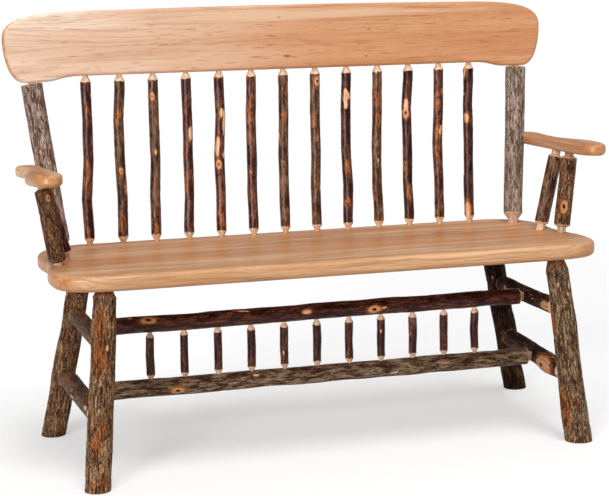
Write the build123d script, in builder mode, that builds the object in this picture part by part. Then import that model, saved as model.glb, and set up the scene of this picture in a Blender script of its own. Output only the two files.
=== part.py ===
from build123d import *
import os
from collections import namedtuple
from math import radians, tan

# Log bench: a glued-up plank seat on four splayed pole legs, with a pole back
# under a shaped crest rail and a paddle arm on two posts at each side.
# Millimetres. The origin is on the floor under the middle of the bench,
# +X is the sitter's left, +Y is the back of the bench and +Z is up.

# ---------------------------------------------------------------- seat plank
SEAT_HEIGHT = 457.0          # top of the plank above the floor
SEAT_THICKNESS = 36.0
SEAT_DEPTH = 463.0           # front edge to back edge
SEAT_HALF = 630.0            # middle of the plank to its end, at the back
SEAT_WAIST = 6.0             # how far the end draws in beside the arm posts
SEAT_LOBE = 13.0             # how far the front corner swells past the back one
SEAT_BACK_CORNER = 125.0     # radius of each back corner
SEAT_FRONT_CORNER = 143.0    # length of the front corner's curve along the front edge
WAIST_BEHIND = 12.0          # waist, behind the middle of the plank
LOBE_AHEAD = 118.0           # widest point of the lobe, ahead of the middle
SEAT_EDGE = 12.0             # rounding of the plank's top and bottom edges
BOARDS = 5                   # boards glued into the plank

# --------------------------------------------------------------- crest rail
BACK_RISE = 396.5            # seat to the straight underside of the crest rail
CREST_DEPTH = 154.0          # underside to the top of the arch
CREST_ARCH = 3.0             # how much the top falls from the middle to its shoulders
CREST_THICKNESS = 26.0
CREST_EAR = 11.5             # how far the ends hang below the straight underside
CREST_OVERHANG = 63.0        # end of the rail past the axis of the back post
CREST_SHOULDER = 224.0       # length of the shoulder's curve along the top
CREST_SHOULDER_DROP = 65.0   # height of that curve
CREST_EAR_TURN = 49.0        # length of the curve from the end to the ear's flat bottom
CREST_EAR_LENGTH = 84.0      # end of the rail to the inner end of that flat bottom
CREST_EAR_BLEND = 90.0       # curve from the ear up to the straight underside
CREST_EDGE = 8.0             # rounding of the rail's edges

# ------------------------------------------------- poles of the back
BACK_RAKE = 3.3              # lean of the spindles and the rail, in degrees
SPINDLE_FROM_BACK = 23.5     # spindle line ahead of the plank's back edge
SPINDLES = 13
SPINDLE_DRIFT = -6.5         # how far the spindles' feet sit towards the sitter's right
SPINDLE_RADIUS = 12.3
SPINDLE_STRAIGHT = 20.0      # straight run at each end of a crooked spindle's bark
SPINDLE_TENON = 5.8
SPINDLE_CONE = 13.0          # length of the whittled cone at each end
SPINDLE_NECK = 0.5           # bare tenon that shows between a cone and its surface
SPINDLE_SOCKET = 22.0
POST_TO_SPINDLE = 85.4       # back post to the nearest spindle, at the seat
POST_FOOT_RADIUS = 23.5
POST_HEAD_RADIUS = 25.0
POST_TENON = 13.5
POST_CONE = 13.0
POST_NECK = 6.0
POST_SOCKET = 26.0
POST_HEAD_TENON = 7.5        # thinner tenon that enters the crest rail
POST_HEAD_NECK = 1.0
POST_HEAD_CONE = 2.5         # the bark runs almost up to the crest rail
POST_HEAD_SOCKET = 20.0
POST_FROM_END = 61.0         # back post in from the end of the plank
POST_FROM_BACK = 84.5        # back post ahead of the plank's back edge
POST_OUT = 42.0              # how far the post leans out on its way up

# ------------------------------------------------------------ arms
ARM_HEIGHT = {"left": 204.0, "right": 181.0}    # middle of each arm above the seat, at its back end
ARM_RISE = {"left": 0.7, "right": 3.0}          # lift of each arm towards the front, in degrees
ARM_THICKNESS = 27.0
ARM_LENGTH = 409.0
ARM_HEEL = 22.0              # length of the rounding at the arm's back end
ARM_BEHIND = 228.0           # back end of the arm, behind the middle of the plank
ARM_NECK = 53.0              # width beside the back post
ARM_LAP = 7.0                # depth that the arm is scribed into the post
ARM_WAIST = 11.0             # how far the outer edge draws in ahead of the neck
ARM_WAIST_AT = 161.0         # that waist, ahead of the arm's back end
ARM_INNER_STRAIGHT = 156.0   # straight inner edge, from the arm's back end
ARM_PADDLE_OUT = 21.0        # how far the paddle swells outwards past the neck
ARM_PADDLE_IN = 2.0          # how far it swells inwards past the neck
ARM_PADDLE = 316.0           # widest point of the paddle, ahead of the arm's back end
ARM_TIP = 34.0               # foremost point, out from the inner edge
ARM_EDGE = 10.0
ARM_POST_TENON = 10.5
ARM_POST_CONE = 5.0
ARM_POST_NECK = 10.0
ARM_POST_SOCKET = 15.0
FRONT_ARM_POST_RADIUS = 19.5
REAR_ARM_POST_RADIUS = 17.0
FRONT_ARM_POST_FOOT = (20.0, -46.0)     # in from the plank's end, and behind its middle line
REAR_ARM_POST_FOOT = (49.0, 12.0)
FRONT_ARM_POST_HEAD = (31.0, -31.0)     # out from the arm's inner edge, and behind the middle line
REAR_ARM_POST_HEAD = (21.0, 20.0)

# ------------------------------------------------------------ legs
LEG_RADIUS = 26.0
LEG_FOOT_RADIUS = 29.0
THICK_LEG_FOOT_RADIUS = 32.0            # foot of the sitter's front left leg, the stoutest pole
LEG_TENON = 19.0
LEG_CONE = 13.0
LEG_NECK = 1.0
LEG_SOCKET = 26.0
FRONT_LEG_HEAD = (97.0, 54.5)           # in from the plank's end, and from its front edge
BACK_LEG_HEAD = (114.5, 64.5)           # in from the plank's end, and from its back edge
FRONT_LEFT_SPLAY = (23.0, 83.0)         # foot outwards and forwards of the head
FRONT_RIGHT_SPLAY = (47.0, 93.0)
BACK_LEFT_SPLAY = (115.0, 103.0)        # foot outwards and backwards of the head
BACK_RIGHT_SPLAY = (75.5, 56.0)

# ------------------------------------------------------------ stretchers
UPPER_HEIGHT = 300.0         # axis of the upper stretchers above the floor
LOWER_HEIGHT = 150.5
UPPER_SIDE_RADIUS = 19.5
LOWER_SIDE_RADIUS = 22.0
SIDE_TENON = 11.5
SIDE_CONE = 9.0
SIDE_NECK = 0.5
SIDE_SOCKET = 18.0
UPPER_LONG_RADIUS = 19.3
LOWER_LONG_RADIUS = 20.8
LONG_TENON = 10.0
LONG_CONE = 9.0
LONG_NECK = 0.5
LONG_SOCKET = 15.0
STRETCHER_LINE = -9.0        # depth of the plane that holds both long stretchers
LOWER_SPINDLES = 11
LOWER_ROW_INSET = 144.0      # outer lower spindle to the axis of the upper side stretcher
LOWER_SPINDLE_RADIUS = 9.8
LOWER_SPINDLE_TENON = 4.6
LOWER_SPINDLE_CONE = 15.0
LOWER_SPINDLE_NECK = 0.5
LOWER_SPINDLE_SOCKET = 12.0

# ------------------------------------------------------------ fits
GLUE_LINE = 0.2              # room round a tenon, and between an arm and its back post
SOCKET_BOTTOM = 1.0          # room past the end of a tenon
MOUTH = 15.0                 # how far a socket cutter starts outside the surface
SAW_WASTE = 20.0             # length of leg that is sawn off level with the floor

# Sideways wander of each back spindle at a quarter, half and three quarters of its height.
# Every bend it makes is at least eight tenths of a degree, so that each mitre stays clear.
SPINDLE_CROOK = (
    (-4, 3, 2), (1, -3, -5), (-1, 2, 0), (3, 1, 2), (0, -2, 2), (-2, -1, -2), (-2, -2, 0),
    (-2, 0, -1), (2, -3, -3), (-3, -4, -1), (-4, -3, -5), (-1, -4, -1), (-2, -1, -3),
)

SEAT_UNDERSIDE = SEAT_HEIGHT - SEAT_THICKNESS
SEAT_FRONT = -SEAT_DEPTH / 2
SEAT_BACK = SEAT_DEPTH / 2
SPINDLE_LINE = SEAT_BACK - SPINDLE_FROM_BACK
LEAN = tan(radians(BACK_RAKE))


Tip = namedtuple("Tip", "tenon cone neck length")
BARE = Tip(0, 0, 0, 0)
SPINDLE_TIP = Tip(SPINDLE_TENON, SPINDLE_CONE, SPINDLE_NECK, SPINDLE_SOCKET)
POST_FOOT_TIP = Tip(POST_TENON, POST_CONE, POST_NECK, POST_SOCKET)
POST_HEAD_TIP = Tip(POST_HEAD_TENON, POST_HEAD_CONE, POST_HEAD_NECK, POST_HEAD_SOCKET)
ARM_POST_TIP = Tip(ARM_POST_TENON, ARM_POST_CONE, ARM_POST_NECK, ARM_POST_SOCKET)
LEG_TIP = Tip(LEG_TENON, LEG_CONE, LEG_NECK, LEG_SOCKET)
SIDE_TIP = Tip(SIDE_TENON, SIDE_CONE, SIDE_NECK, SIDE_SOCKET)
LONG_TIP = Tip(LONG_TENON, LONG_CONE, LONG_NECK, LONG_SOCKET)
LOWER_TIP = Tip(LOWER_SPINDLE_TENON, LOWER_SPINDLE_CONE, LOWER_SPINDLE_NECK, LOWER_SPINDLE_SOCKET)
UP = Vector(0, 0, 1)


def between(low, high, height):
    """Point at a given height on the straight line from low to high."""
    return low + (high - low) * ((height - low.Z) / (high.Z - low.Z))


def ease(start, end, upright):
    """S-curve whose ends both run upright in the sketch, or both level."""
    middle = (Vector(start) + Vector(end)) / 2
    if upright:
        Bezier(start, (start[0], middle.Y), (end[0], middle.Y), end)
    else:
        Bezier(start, (middle.X, start[1]), (middle.X, end[1]), end)


def turn(start, end, upright, fullness):
    """Rounded corner that leaves start upright or level and arrives the other way."""
    corner = Vector(start[0], end[1]) if upright else Vector(end[0], start[1])
    leave = Vector(start) + (corner - Vector(start)) * fullness[0]
    arrive = Vector(end) + (corner - Vector(end)) * fullness[1]
    Bezier(start, leave, arrive, end)


def leaning(tip, axis, normal):
    """The same tip with a longer neck, so that a leaning cone stays off its surface."""
    dip = tip.tenon * axis.cross(normal).length / abs(axis.dot(normal))
    return tip._replace(neck=tip.neck + dip)


def make_pole(start, end, radii, tips, crook=()):
    """A bark pole with whittled tips, from the surface point start to the surface point end.

    radii and tips hold one value for each end. crook is how far a crooked pole wanders
    off its straight line at even stations along it, sideways in its own level direction.
    """
    run = (end - start).length
    axis = (end - start).normalized()
    across = Vector(1, 0, 0) - axis * axis.X
    if across.length < 0.5:
        across = UP.cross(axis)
    lengthwise = Plane(origin=start, x_dir=across, z_dir=across.cross(axis))
    low = tips[0].neck + tips[0].cone
    high = run - tips[1].neck - tips[1].cone
    foot = [(0, -tips[0].length), (tips[0].tenon, -tips[0].length), (tips[0].tenon, tips[0].neck)]
    head = [(tips[1].tenon, run - tips[1].neck), (tips[1].tenon, run + tips[1].length)]
    if tips[0] is BARE:
        foot = [(0, 0)]
    foot.append((radii[0], low))
    head = [(radii[1], high), *head, (0, run + tips[1].length)]
    profiles = [foot + [(0, low)], [(0, high)] + head] if crook else [foot + head]
    with BuildPart() as pole:
        for profile in profiles:
            with BuildSketch(lengthwise):
                with BuildLine():
                    Polyline(*profile, close=True)
                make_face()
            revolve(axis=Axis(start, axis))
        if crook:
            step = (high - low) / (len(crook) + 1)
            bends = [(drift, low + step * number) for number, drift in enumerate(crook, 1)]
            path = [(0, low), (0, low + SPINDLE_STRAIGHT), *bends, (0, high - SPINDLE_STRAIGHT), (0, high)]
            with BuildLine(lengthwise):
                Polyline(*path)
            with BuildSketch(Plane(origin=start, x_dir=across, z_dir=axis).offset(low)):
                Circle(radii[0])
            sweep(transition=Transition.RIGHT)
    return pole.part


def socket(surface, pole_side, tip):
    """Cutter for the socket of a tip that enters at surface and comes from pole_side."""
    with BuildPart() as cutter:
        with BuildSketch(Plane(origin=surface, z_dir=surface - pole_side).offset(-MOUTH)):
            Circle(tip.tenon + GLUE_LINE)
        extrude(amount=MOUTH + tip.length + SOCKET_BOTTOM)
    return cutter.part


def write(part, name):
    """Label a finished piece and write it to its own file."""
    part.label = name
    export_step(part, f"parts/{name}.step")


# ---------------------------------------------------------------- set-out points
SIDES = {"left": 1, "right": -1}
crest_plane = Plane(
    origin=(0, SPINDLE_LINE + BACK_RISE * LEAN, SEAT_HEIGHT + BACK_RISE),
    x_dir=(1, 0, 0),
    z_dir=(0, -1, LEAN),
)
post_feet = {}
post_heads = {}
for side, sign in SIDES.items():
    foot = Vector(sign * (SEAT_HALF - POST_FROM_END), SEAT_BACK - POST_FROM_BACK, SEAT_HEIGHT)
    post_feet[side] = foot
    post_heads[side] = crest_plane.from_local_coords(Vector(foot.X + sign * POST_OUT, -CREST_EAR, 0))

row_half = post_feet["left"].X - POST_TO_SPINDLE
spindle_places = [row_half * (2 * number / (SPINDLES - 1) - 1) for number in range(SPINDLES)]
spindle_feet = [Vector(x + SPINDLE_DRIFT, SPINDLE_LINE, SEAT_HEIGHT) for x in spindle_places]
spindle_heads = [crest_plane.from_local_coords(Vector(x, 0, 0)) for x in spindle_places]

arm_planes = {}
arm_post_feet = {}
arm_post_heads = {}
both_arms_height = SEAT_HEIGHT + (ARM_HEIGHT["left"] + ARM_HEIGHT["right"]) / 2
post_there = between(post_feet["left"], post_heads["left"], both_arms_height)
arm_inner = post_there.X + POST_FOOT_RADIUS - ARM_LAP
for side, sign in SIDES.items():
    arm_planes[side] = Plane(
        origin=(0, ARM_BEHIND, SEAT_HEIGHT + ARM_HEIGHT[side]),
        x_dir=(1, 0, 0),
        z_dir=(0, tan(radians(ARM_RISE[side])), 1),
    )
    for row, foot, head in (
        ("front", FRONT_ARM_POST_FOOT, FRONT_ARM_POST_HEAD),
        ("rear", REAR_ARM_POST_FOOT, REAR_ARM_POST_HEAD),
    ):
        under_arm = Vector(sign * (arm_inner + head[0]), head[1] - ARM_BEHIND, -ARM_THICKNESS / 2)
        arm_post_feet[row, side] = Vector(sign * (SEAT_HALF - foot[0]), foot[1], SEAT_HEIGHT)
        arm_post_heads[row, side] = arm_planes[side].from_local_coords(under_arm)

leg_heads = {}
leg_feet = {}
for row, side, splay in (
    ("front", "left", FRONT_LEFT_SPLAY),
    ("front", "right", FRONT_RIGHT_SPLAY),
    ("back", "left", BACK_LEFT_SPLAY),
    ("back", "right", BACK_RIGHT_SPLAY),
):
    place, edge, away = (FRONT_LEG_HEAD, SEAT_FRONT, -1) if row == "front" else (BACK_LEG_HEAD, SEAT_BACK, 1)
    head = Vector(SIDES[side] * (SEAT_HALF - place[0]), edge - away * place[1], SEAT_UNDERSIDE)
    leg_heads[row, side] = head
    leg_feet[row, side] = Vector(head.X + SIDES[side] * splay[0], head.Y + away * splay[1], 0)

foot_radii = dict.fromkeys(leg_feet, LEG_FOOT_RADIUS)
foot_radii["front", "left"] = THICK_LEG_FOOT_RADIUS

LEVELS = {
    "upper": (UPPER_HEIGHT, UPPER_SIDE_RADIUS, UPPER_LONG_RADIUS),
    "lower": (LOWER_HEIGHT, LOWER_SIDE_RADIUS, LOWER_LONG_RADIUS),
}
side_ends = {}
crossings = {}
long_ends = {}
for level, (height, side_radius, long_radius) in LEVELS.items():
    for side in SIDES:
        front = between(leg_feet["front", side], leg_heads["front", side], height)
        back = between(leg_feet["back", side], leg_heads["back", side], height)
        along = (back - front).normalized()
        front_surface, back_surface = (
            foot_radii[row, side] + (LEG_RADIUS - foot_radii[row, side]) * height / SEAT_UNDERSIDE
            for row in ("front", "back")
        )
        side_ends[level, side] = (front + along * front_surface, back - along * back_surface)
        crossings[level, side] = front + along * ((STRETCHER_LINE - front.Y) / along.Y)
    long_ends[level] = (
        crossings[level, "right"] + Vector(side_radius, 0, 0),
        crossings[level, "left"] - Vector(side_radius, 0, 0),
    )

lower_half = crossings["upper", "left"].X - LOWER_ROW_INSET
lower_places = [lower_half * (2 * number / (LOWER_SPINDLES - 1) - 1) for number in range(LOWER_SPINDLES)]
lower_feet = [Vector(x, STRETCHER_LINE, LOWER_HEIGHT + LOWER_LONG_RADIUS) for x in lower_places]
lower_heads = [Vector(x, STRETCHER_LINE, UPPER_HEIGHT - UPPER_LONG_RADIUS) for x in lower_places]

os.makedirs("parts", exist_ok=True)

# ---------------------------------------------------------------- seat boards
seat_end = SEAT_HALF + SEAT_LOBE
waist_end = SEAT_HALF - SEAT_WAIST
back_corner = (SEAT_HALF, SEAT_BACK - SEAT_BACK_CORNER)
waist = (waist_end, WAIST_BEHIND)
lobe = (seat_end, -LOBE_AHEAD)
front_corner = (seat_end - SEAT_FRONT_CORNER, SEAT_FRONT)
with BuildPart() as plank:
    with BuildSketch(Plane.XY.offset(SEAT_UNDERSIDE)):
        with BuildLine():
            Line((0, SEAT_BACK), (SEAT_HALF - SEAT_BACK_CORNER, SEAT_BACK))
            TangentArc((SEAT_HALF - SEAT_BACK_CORNER, SEAT_BACK), back_corner, tangent=(1, 0))
            ease(back_corner, waist, True)
            ease(waist, lobe, True)
            turn(lobe, front_corner, True, (0.58, 0.87))
            Line(front_corner, (0, SEAT_FRONT))
            mirror(about=Plane.YZ)
        make_face()
    extrude(amount=SEAT_THICKNESS)
    fillet(plank.faces().filter_by(Axis.Z).edges(), min(SEAT_EDGE, SEAT_THICKNESS * 0.45))
    for foot, head in zip(spindle_feet, spindle_heads):
        add(socket(foot, head, SPINDLE_TIP), mode=Mode.SUBTRACT)
    for side in SIDES:
        add(socket(post_feet[side], post_heads[side], POST_FOOT_TIP), mode=Mode.SUBTRACT)
    for place in arm_post_feet:
        add(socket(arm_post_feet[place], arm_post_heads[place], ARM_POST_TIP), mode=Mode.SUBTRACT)
    for place in leg_heads:
        add(socket(leg_heads[place], leg_feet[place], LEG_TIP), mode=Mode.SUBTRACT)

board_width = SEAT_DEPTH / BOARDS
for number in range(1, BOARDS + 1):
    joint = Plane(origin=(0, SEAT_FRONT + board_width * (number - 1), 0), z_dir=(0, 1, 0))
    with BuildPart() as board:
        add(plank.part)
        if number > 1:
            split(bisect_by=joint, keep=Keep.TOP)
        if number < BOARDS:
            split(bisect_by=joint.offset(board_width), keep=Keep.BOTTOM)
    write(board.part, f"seat_board_{number}")

# ---------------------------------------------------------------- crest rail
crest_half = post_heads["left"].X + CREST_OVERHANG
shoulder = (crest_half - CREST_SHOULDER, CREST_DEPTH - CREST_ARCH)
crest_end = (crest_half, CREST_DEPTH - CREST_SHOULDER_DROP)
ear_outer = (crest_half - CREST_EAR_TURN, -CREST_EAR)
ear_inner = (crest_half - CREST_EAR_LENGTH, -CREST_EAR)
ear_root = (crest_half - CREST_EAR_LENGTH - CREST_EAR_BLEND, 0)
with BuildPart() as crest_rail:
    with BuildSketch(crest_plane):
        with BuildLine():
            TangentArc((0, CREST_DEPTH), shoulder, tangent=(1, 0))
            turn(shoulder, crest_end, False, (0.67, 0.85))
            turn(crest_end, ear_outer, True, (0.33, 0.8))
            Line(ear_outer, ear_inner)
            ease(ear_inner, ear_root, False)
            Line(ear_root, (0, 0))
            mirror(about=Plane.YZ)
        make_face()
    extrude(amount=CREST_THICKNESS / 2, both=True)
    fillet(crest_rail.faces().filter_by(crest_plane).edges(), min(CREST_EDGE, CREST_THICKNESS * 0.45))
    for foot, head in zip(spindle_feet, spindle_heads):
        add(socket(head, foot, SPINDLE_TIP), mode=Mode.SUBTRACT)
    for side in SIDES:
        add(socket(post_heads[side], post_feet[side], POST_HEAD_TIP), mode=Mode.SUBTRACT)
write(crest_rail.part, "crest_rail")

# ---------------------------------------------------------------- poles of the back
rise = spindle_heads[0] - spindle_feet[0]
spindle_tips = (leaning(SPINDLE_TIP, rise, UP), SPINDLE_TIP)
for number, (foot, head) in enumerate(zip(spindle_feet, spindle_heads), 1):
    crook = SPINDLE_CROOK[(number - 1) % len(SPINDLE_CROOK)]
    radii = (SPINDLE_RADIUS, SPINDLE_RADIUS)
    write(make_pole(foot, head, radii, spindle_tips, crook), f"back_spindle_{number:02d}")
for side in SIDES:
    rise = post_heads[side] - post_feet[side]
    tips = (leaning(POST_FOOT_TIP, rise, UP), leaning(POST_HEAD_TIP, rise, crest_plane.y_dir))
    post = make_pole(post_feet[side], post_heads[side], (POST_FOOT_RADIUS, POST_HEAD_RADIUS), tips)
    write(post, f"back_post_{side}")

# ---------------------------------------------------------------- arms and their posts
for side, sign in SIDES.items():
    inner = sign * arm_inner
    outer = sign * (arm_inner + ARM_NECK)
    heel = (sign * (arm_inner + ARM_NECK / 2), 0)
    outer_waist = (outer - sign * ARM_WAIST, -ARM_WAIST_AT)
    outer_paddle = (outer + sign * ARM_PADDLE_OUT, -ARM_PADDLE)
    inner_paddle = (inner - sign * ARM_PADDLE_IN, -ARM_PADDLE)
    tip = (inner + sign * ARM_TIP, -ARM_LENGTH)
    rise = post_heads[side] - post_feet[side]
    lengthwise = Plane(origin=post_feet[side], x_dir=(1, 0, 0), z_dir=rise)
    with BuildPart() as post_room:
        with BuildSketch(lengthwise):
            Circle(POST_FOOT_RADIUS + GLUE_LINE)
        with BuildSketch(lengthwise.offset(rise.length)):
            Circle(POST_HEAD_RADIUS + GLUE_LINE)
        loft(ruled=True)
    with BuildPart() as arm:
        with BuildSketch(arm_planes[side]):
            with BuildLine():
                ThreePointArc((inner, -ARM_HEEL), heel, (outer, -ARM_HEEL))
                ease((outer, -ARM_HEEL), outer_waist, True)
                ease(outer_waist, outer_paddle, True)
                turn(outer_paddle, tip, True, (0.64, 0.62))
                turn(tip, inner_paddle, False, (0.7, 0.58))
                ease(inner_paddle, (inner, -ARM_INNER_STRAIGHT), True)
                Line((inner, -ARM_INNER_STRAIGHT), (inner, -ARM_HEEL))
            make_face()
        extrude(amount=ARM_THICKNESS / 2, both=True)
        fillet(arm.faces().filter_by(arm_planes[side]).edges(), min(ARM_EDGE, ARM_THICKNESS * 0.45))
        add(post_room.part, mode=Mode.SUBTRACT)
        for row in ("front", "rear"):
            cutter = socket(arm_post_heads[row, side], arm_post_feet[row, side], ARM_POST_TIP)
            add(cutter, mode=Mode.SUBTRACT)
    write(arm.part, f"arm_{side}")
    for row, radius in (("front", FRONT_ARM_POST_RADIUS), ("rear", REAR_ARM_POST_RADIUS)):
        foot = arm_post_feet[row, side]
        head = arm_post_heads[row, side]
        tips = [leaning(ARM_POST_TIP, head - foot, square) for square in (UP, arm_planes[side].z_dir)]
        write(make_pole(foot, head, (radius, radius), tips), f"arm_post_{row}_{side}")

# ---------------------------------------------------------------- legs
for (row, side), foot in leg_feet.items():
    head = leg_heads[row, side]
    rise = head - foot
    below = foot - rise.normalized() * SAW_WASTE
    near = 0 if row == "front" else 1
    with BuildPart() as leg:
        add(make_pole(below, head, (foot_radii[row, side], LEG_RADIUS), (BARE, leaning(LEG_TIP, rise, UP))))
        split(bisect_by=Plane.XY, keep=Keep.TOP)
        for level in LEVELS:
            ends = side_ends[level, side]
            add(socket(ends[near], ends[1 - near], SIDE_TIP), mode=Mode.SUBTRACT)
    write(leg.part, f"leg_{row}_{side}")

# ---------------------------------------------------------------- stretchers
for level, (height, side_radius, long_radius) in LEVELS.items():
    for near, side in enumerate(("right", "left")):
        front, back = side_ends[level, side]
        run = back - front
        tips = []
        for row in ("front", "back"):
            leg_axis = (leg_heads[row, side] - leg_feet[row, side]).normalized()
            square = run - leg_axis * run.dot(leg_axis)
            tips.append(leaning(SIDE_TIP, run, square))
        with BuildPart() as side_stretcher:
            add(make_pole(front, back, (side_radius, side_radius), tips))
            ends = long_ends[level]
            add(socket(ends[near], ends[1 - near], LONG_TIP), mode=Mode.SUBTRACT)
        write(side_stretcher.part, f"side_stretcher_{level}_{side}")

    right, left = long_ends[level]
    tips = []
    for side in ("right", "left"):
        front, back = side_ends[level, side]
        along = (back - front).normalized()
        square = (left - right) - along * (left - right).dot(along)
        tips.append(leaning(LONG_TIP, left - right, square))
    with BuildPart() as long_stretcher:
        add(make_pole(right, left, (long_radius, long_radius), tips))
        for foot, head in zip(lower_feet, lower_heads):
            if level == "lower":
                add(socket(foot, head, LOWER_TIP), mode=Mode.SUBTRACT)
            else:
                add(socket(head, foot, LOWER_TIP), mode=Mode.SUBTRACT)
    write(long_stretcher.part, f"long_stretcher_{level}")

for number, (foot, head) in enumerate(zip(lower_feet, lower_heads), 1):
    radii = (LOWER_SPINDLE_RADIUS, LOWER_SPINDLE_RADIUS)
    write(make_pole(foot, head, radii, (LOWER_TIP, LOWER_TIP)), f"lower_spindle_{number:02d}")
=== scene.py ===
"""Looks of a rustic log bench: bark-on hickory poles under planed and varnished hickory planks.

Lengths are in metres. The bench stands on the floor at z = 0, its back towards +Y, and the
sitter's left is towards +X.
"""

import logging
import math
import random
from dataclasses import dataclass, field, replace
from enum import Enum
from typing import Any, Iterator, NamedTuple, Optional, Sequence, Union

import bmesh
import bpy
import numpy as np
from mathutils import Matrix, Vector, noise
from mathutils.bvhtree import BVHTree

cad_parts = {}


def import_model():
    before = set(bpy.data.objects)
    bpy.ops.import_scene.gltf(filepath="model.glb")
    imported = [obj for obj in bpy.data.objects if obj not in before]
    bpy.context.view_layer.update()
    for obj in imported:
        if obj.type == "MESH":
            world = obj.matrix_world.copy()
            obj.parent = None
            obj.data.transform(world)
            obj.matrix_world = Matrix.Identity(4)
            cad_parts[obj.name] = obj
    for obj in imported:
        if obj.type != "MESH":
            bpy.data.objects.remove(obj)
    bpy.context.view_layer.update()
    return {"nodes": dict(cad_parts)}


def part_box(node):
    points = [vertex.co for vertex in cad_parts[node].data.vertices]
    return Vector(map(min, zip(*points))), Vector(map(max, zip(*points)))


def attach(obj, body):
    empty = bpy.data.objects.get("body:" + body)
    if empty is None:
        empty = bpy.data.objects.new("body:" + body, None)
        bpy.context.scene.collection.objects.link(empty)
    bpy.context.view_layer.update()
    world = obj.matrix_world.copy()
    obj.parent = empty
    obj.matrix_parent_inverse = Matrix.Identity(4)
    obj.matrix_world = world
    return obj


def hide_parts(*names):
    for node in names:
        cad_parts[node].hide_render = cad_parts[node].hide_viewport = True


LOG = logging.getLogger("log_bench")
Socket = bpy.types.NodeSocket
Colour = tuple[float, float, float]
Place = tuple[float, float, float]
Feed = Union[Socket, float, Sequence[float]]
MERGE = 1e-6  # distance within which the frame's loose corners are one


class Slot(Enum):
    """Material slots of the bench's record."""

    BARK = "bark_hickory"
    PLANED = "planed_hickory"


class Side(Enum):
    """Side of the bench, as the sitter has it."""

    LEFT = "left"
    RIGHT = "right"


class Work(Enum):
    """What a shader does with one, two or three numbers, by Blender's names."""

    ADD = "ADD"
    TIMES = "MULTIPLY"
    SCALED = "MULTIPLY_ADD"
    LARGER = "MAXIMUM"
    SIZE = "ABSOLUTE"
    WAVE = "SINE"


def from_srgb(red: int, green: int, blue: int) -> Colour:
    """Colour in linear light from its usual 0 to 255 values."""
    linear = [(c / 255) / 12.92 if c <= 10 else ((c / 255 + 0.055) / 1.055) ** 2.4 for c in (red, green, blue)]
    return (linear[0], linear[1], linear[2])


def soft_step(low: float, high: float, value: float) -> float:
    """Smooth rise from 0 where value is low to 1 where it is high."""
    t = min(1.0, max(0.0, (value - low) / (high - low)))
    return t * t * (3 - 2 * t)


# ---------------------------------------------------------------- finishes


@dataclass(frozen=True)
class Pattern:
    """Cloudy pattern between 0 and 1, drawn out along the grain."""

    count: float  # clouds per metre
    along: float = 1.0  # share of that count along the grain
    octaves: float = 3.0
    rough: float = 0.5  # strength of the finer octaves
    warp: float = 0.0  # how far the clouds are pulled about
    shift: Place = (0.0, 0.0, 0.0)


@dataclass(frozen=True)
class Rise:
    """Smooth rise from start to end, while a pattern goes from low to high."""

    low: float
    high: float
    end: float = 1.0
    start: float = 0.0


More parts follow.
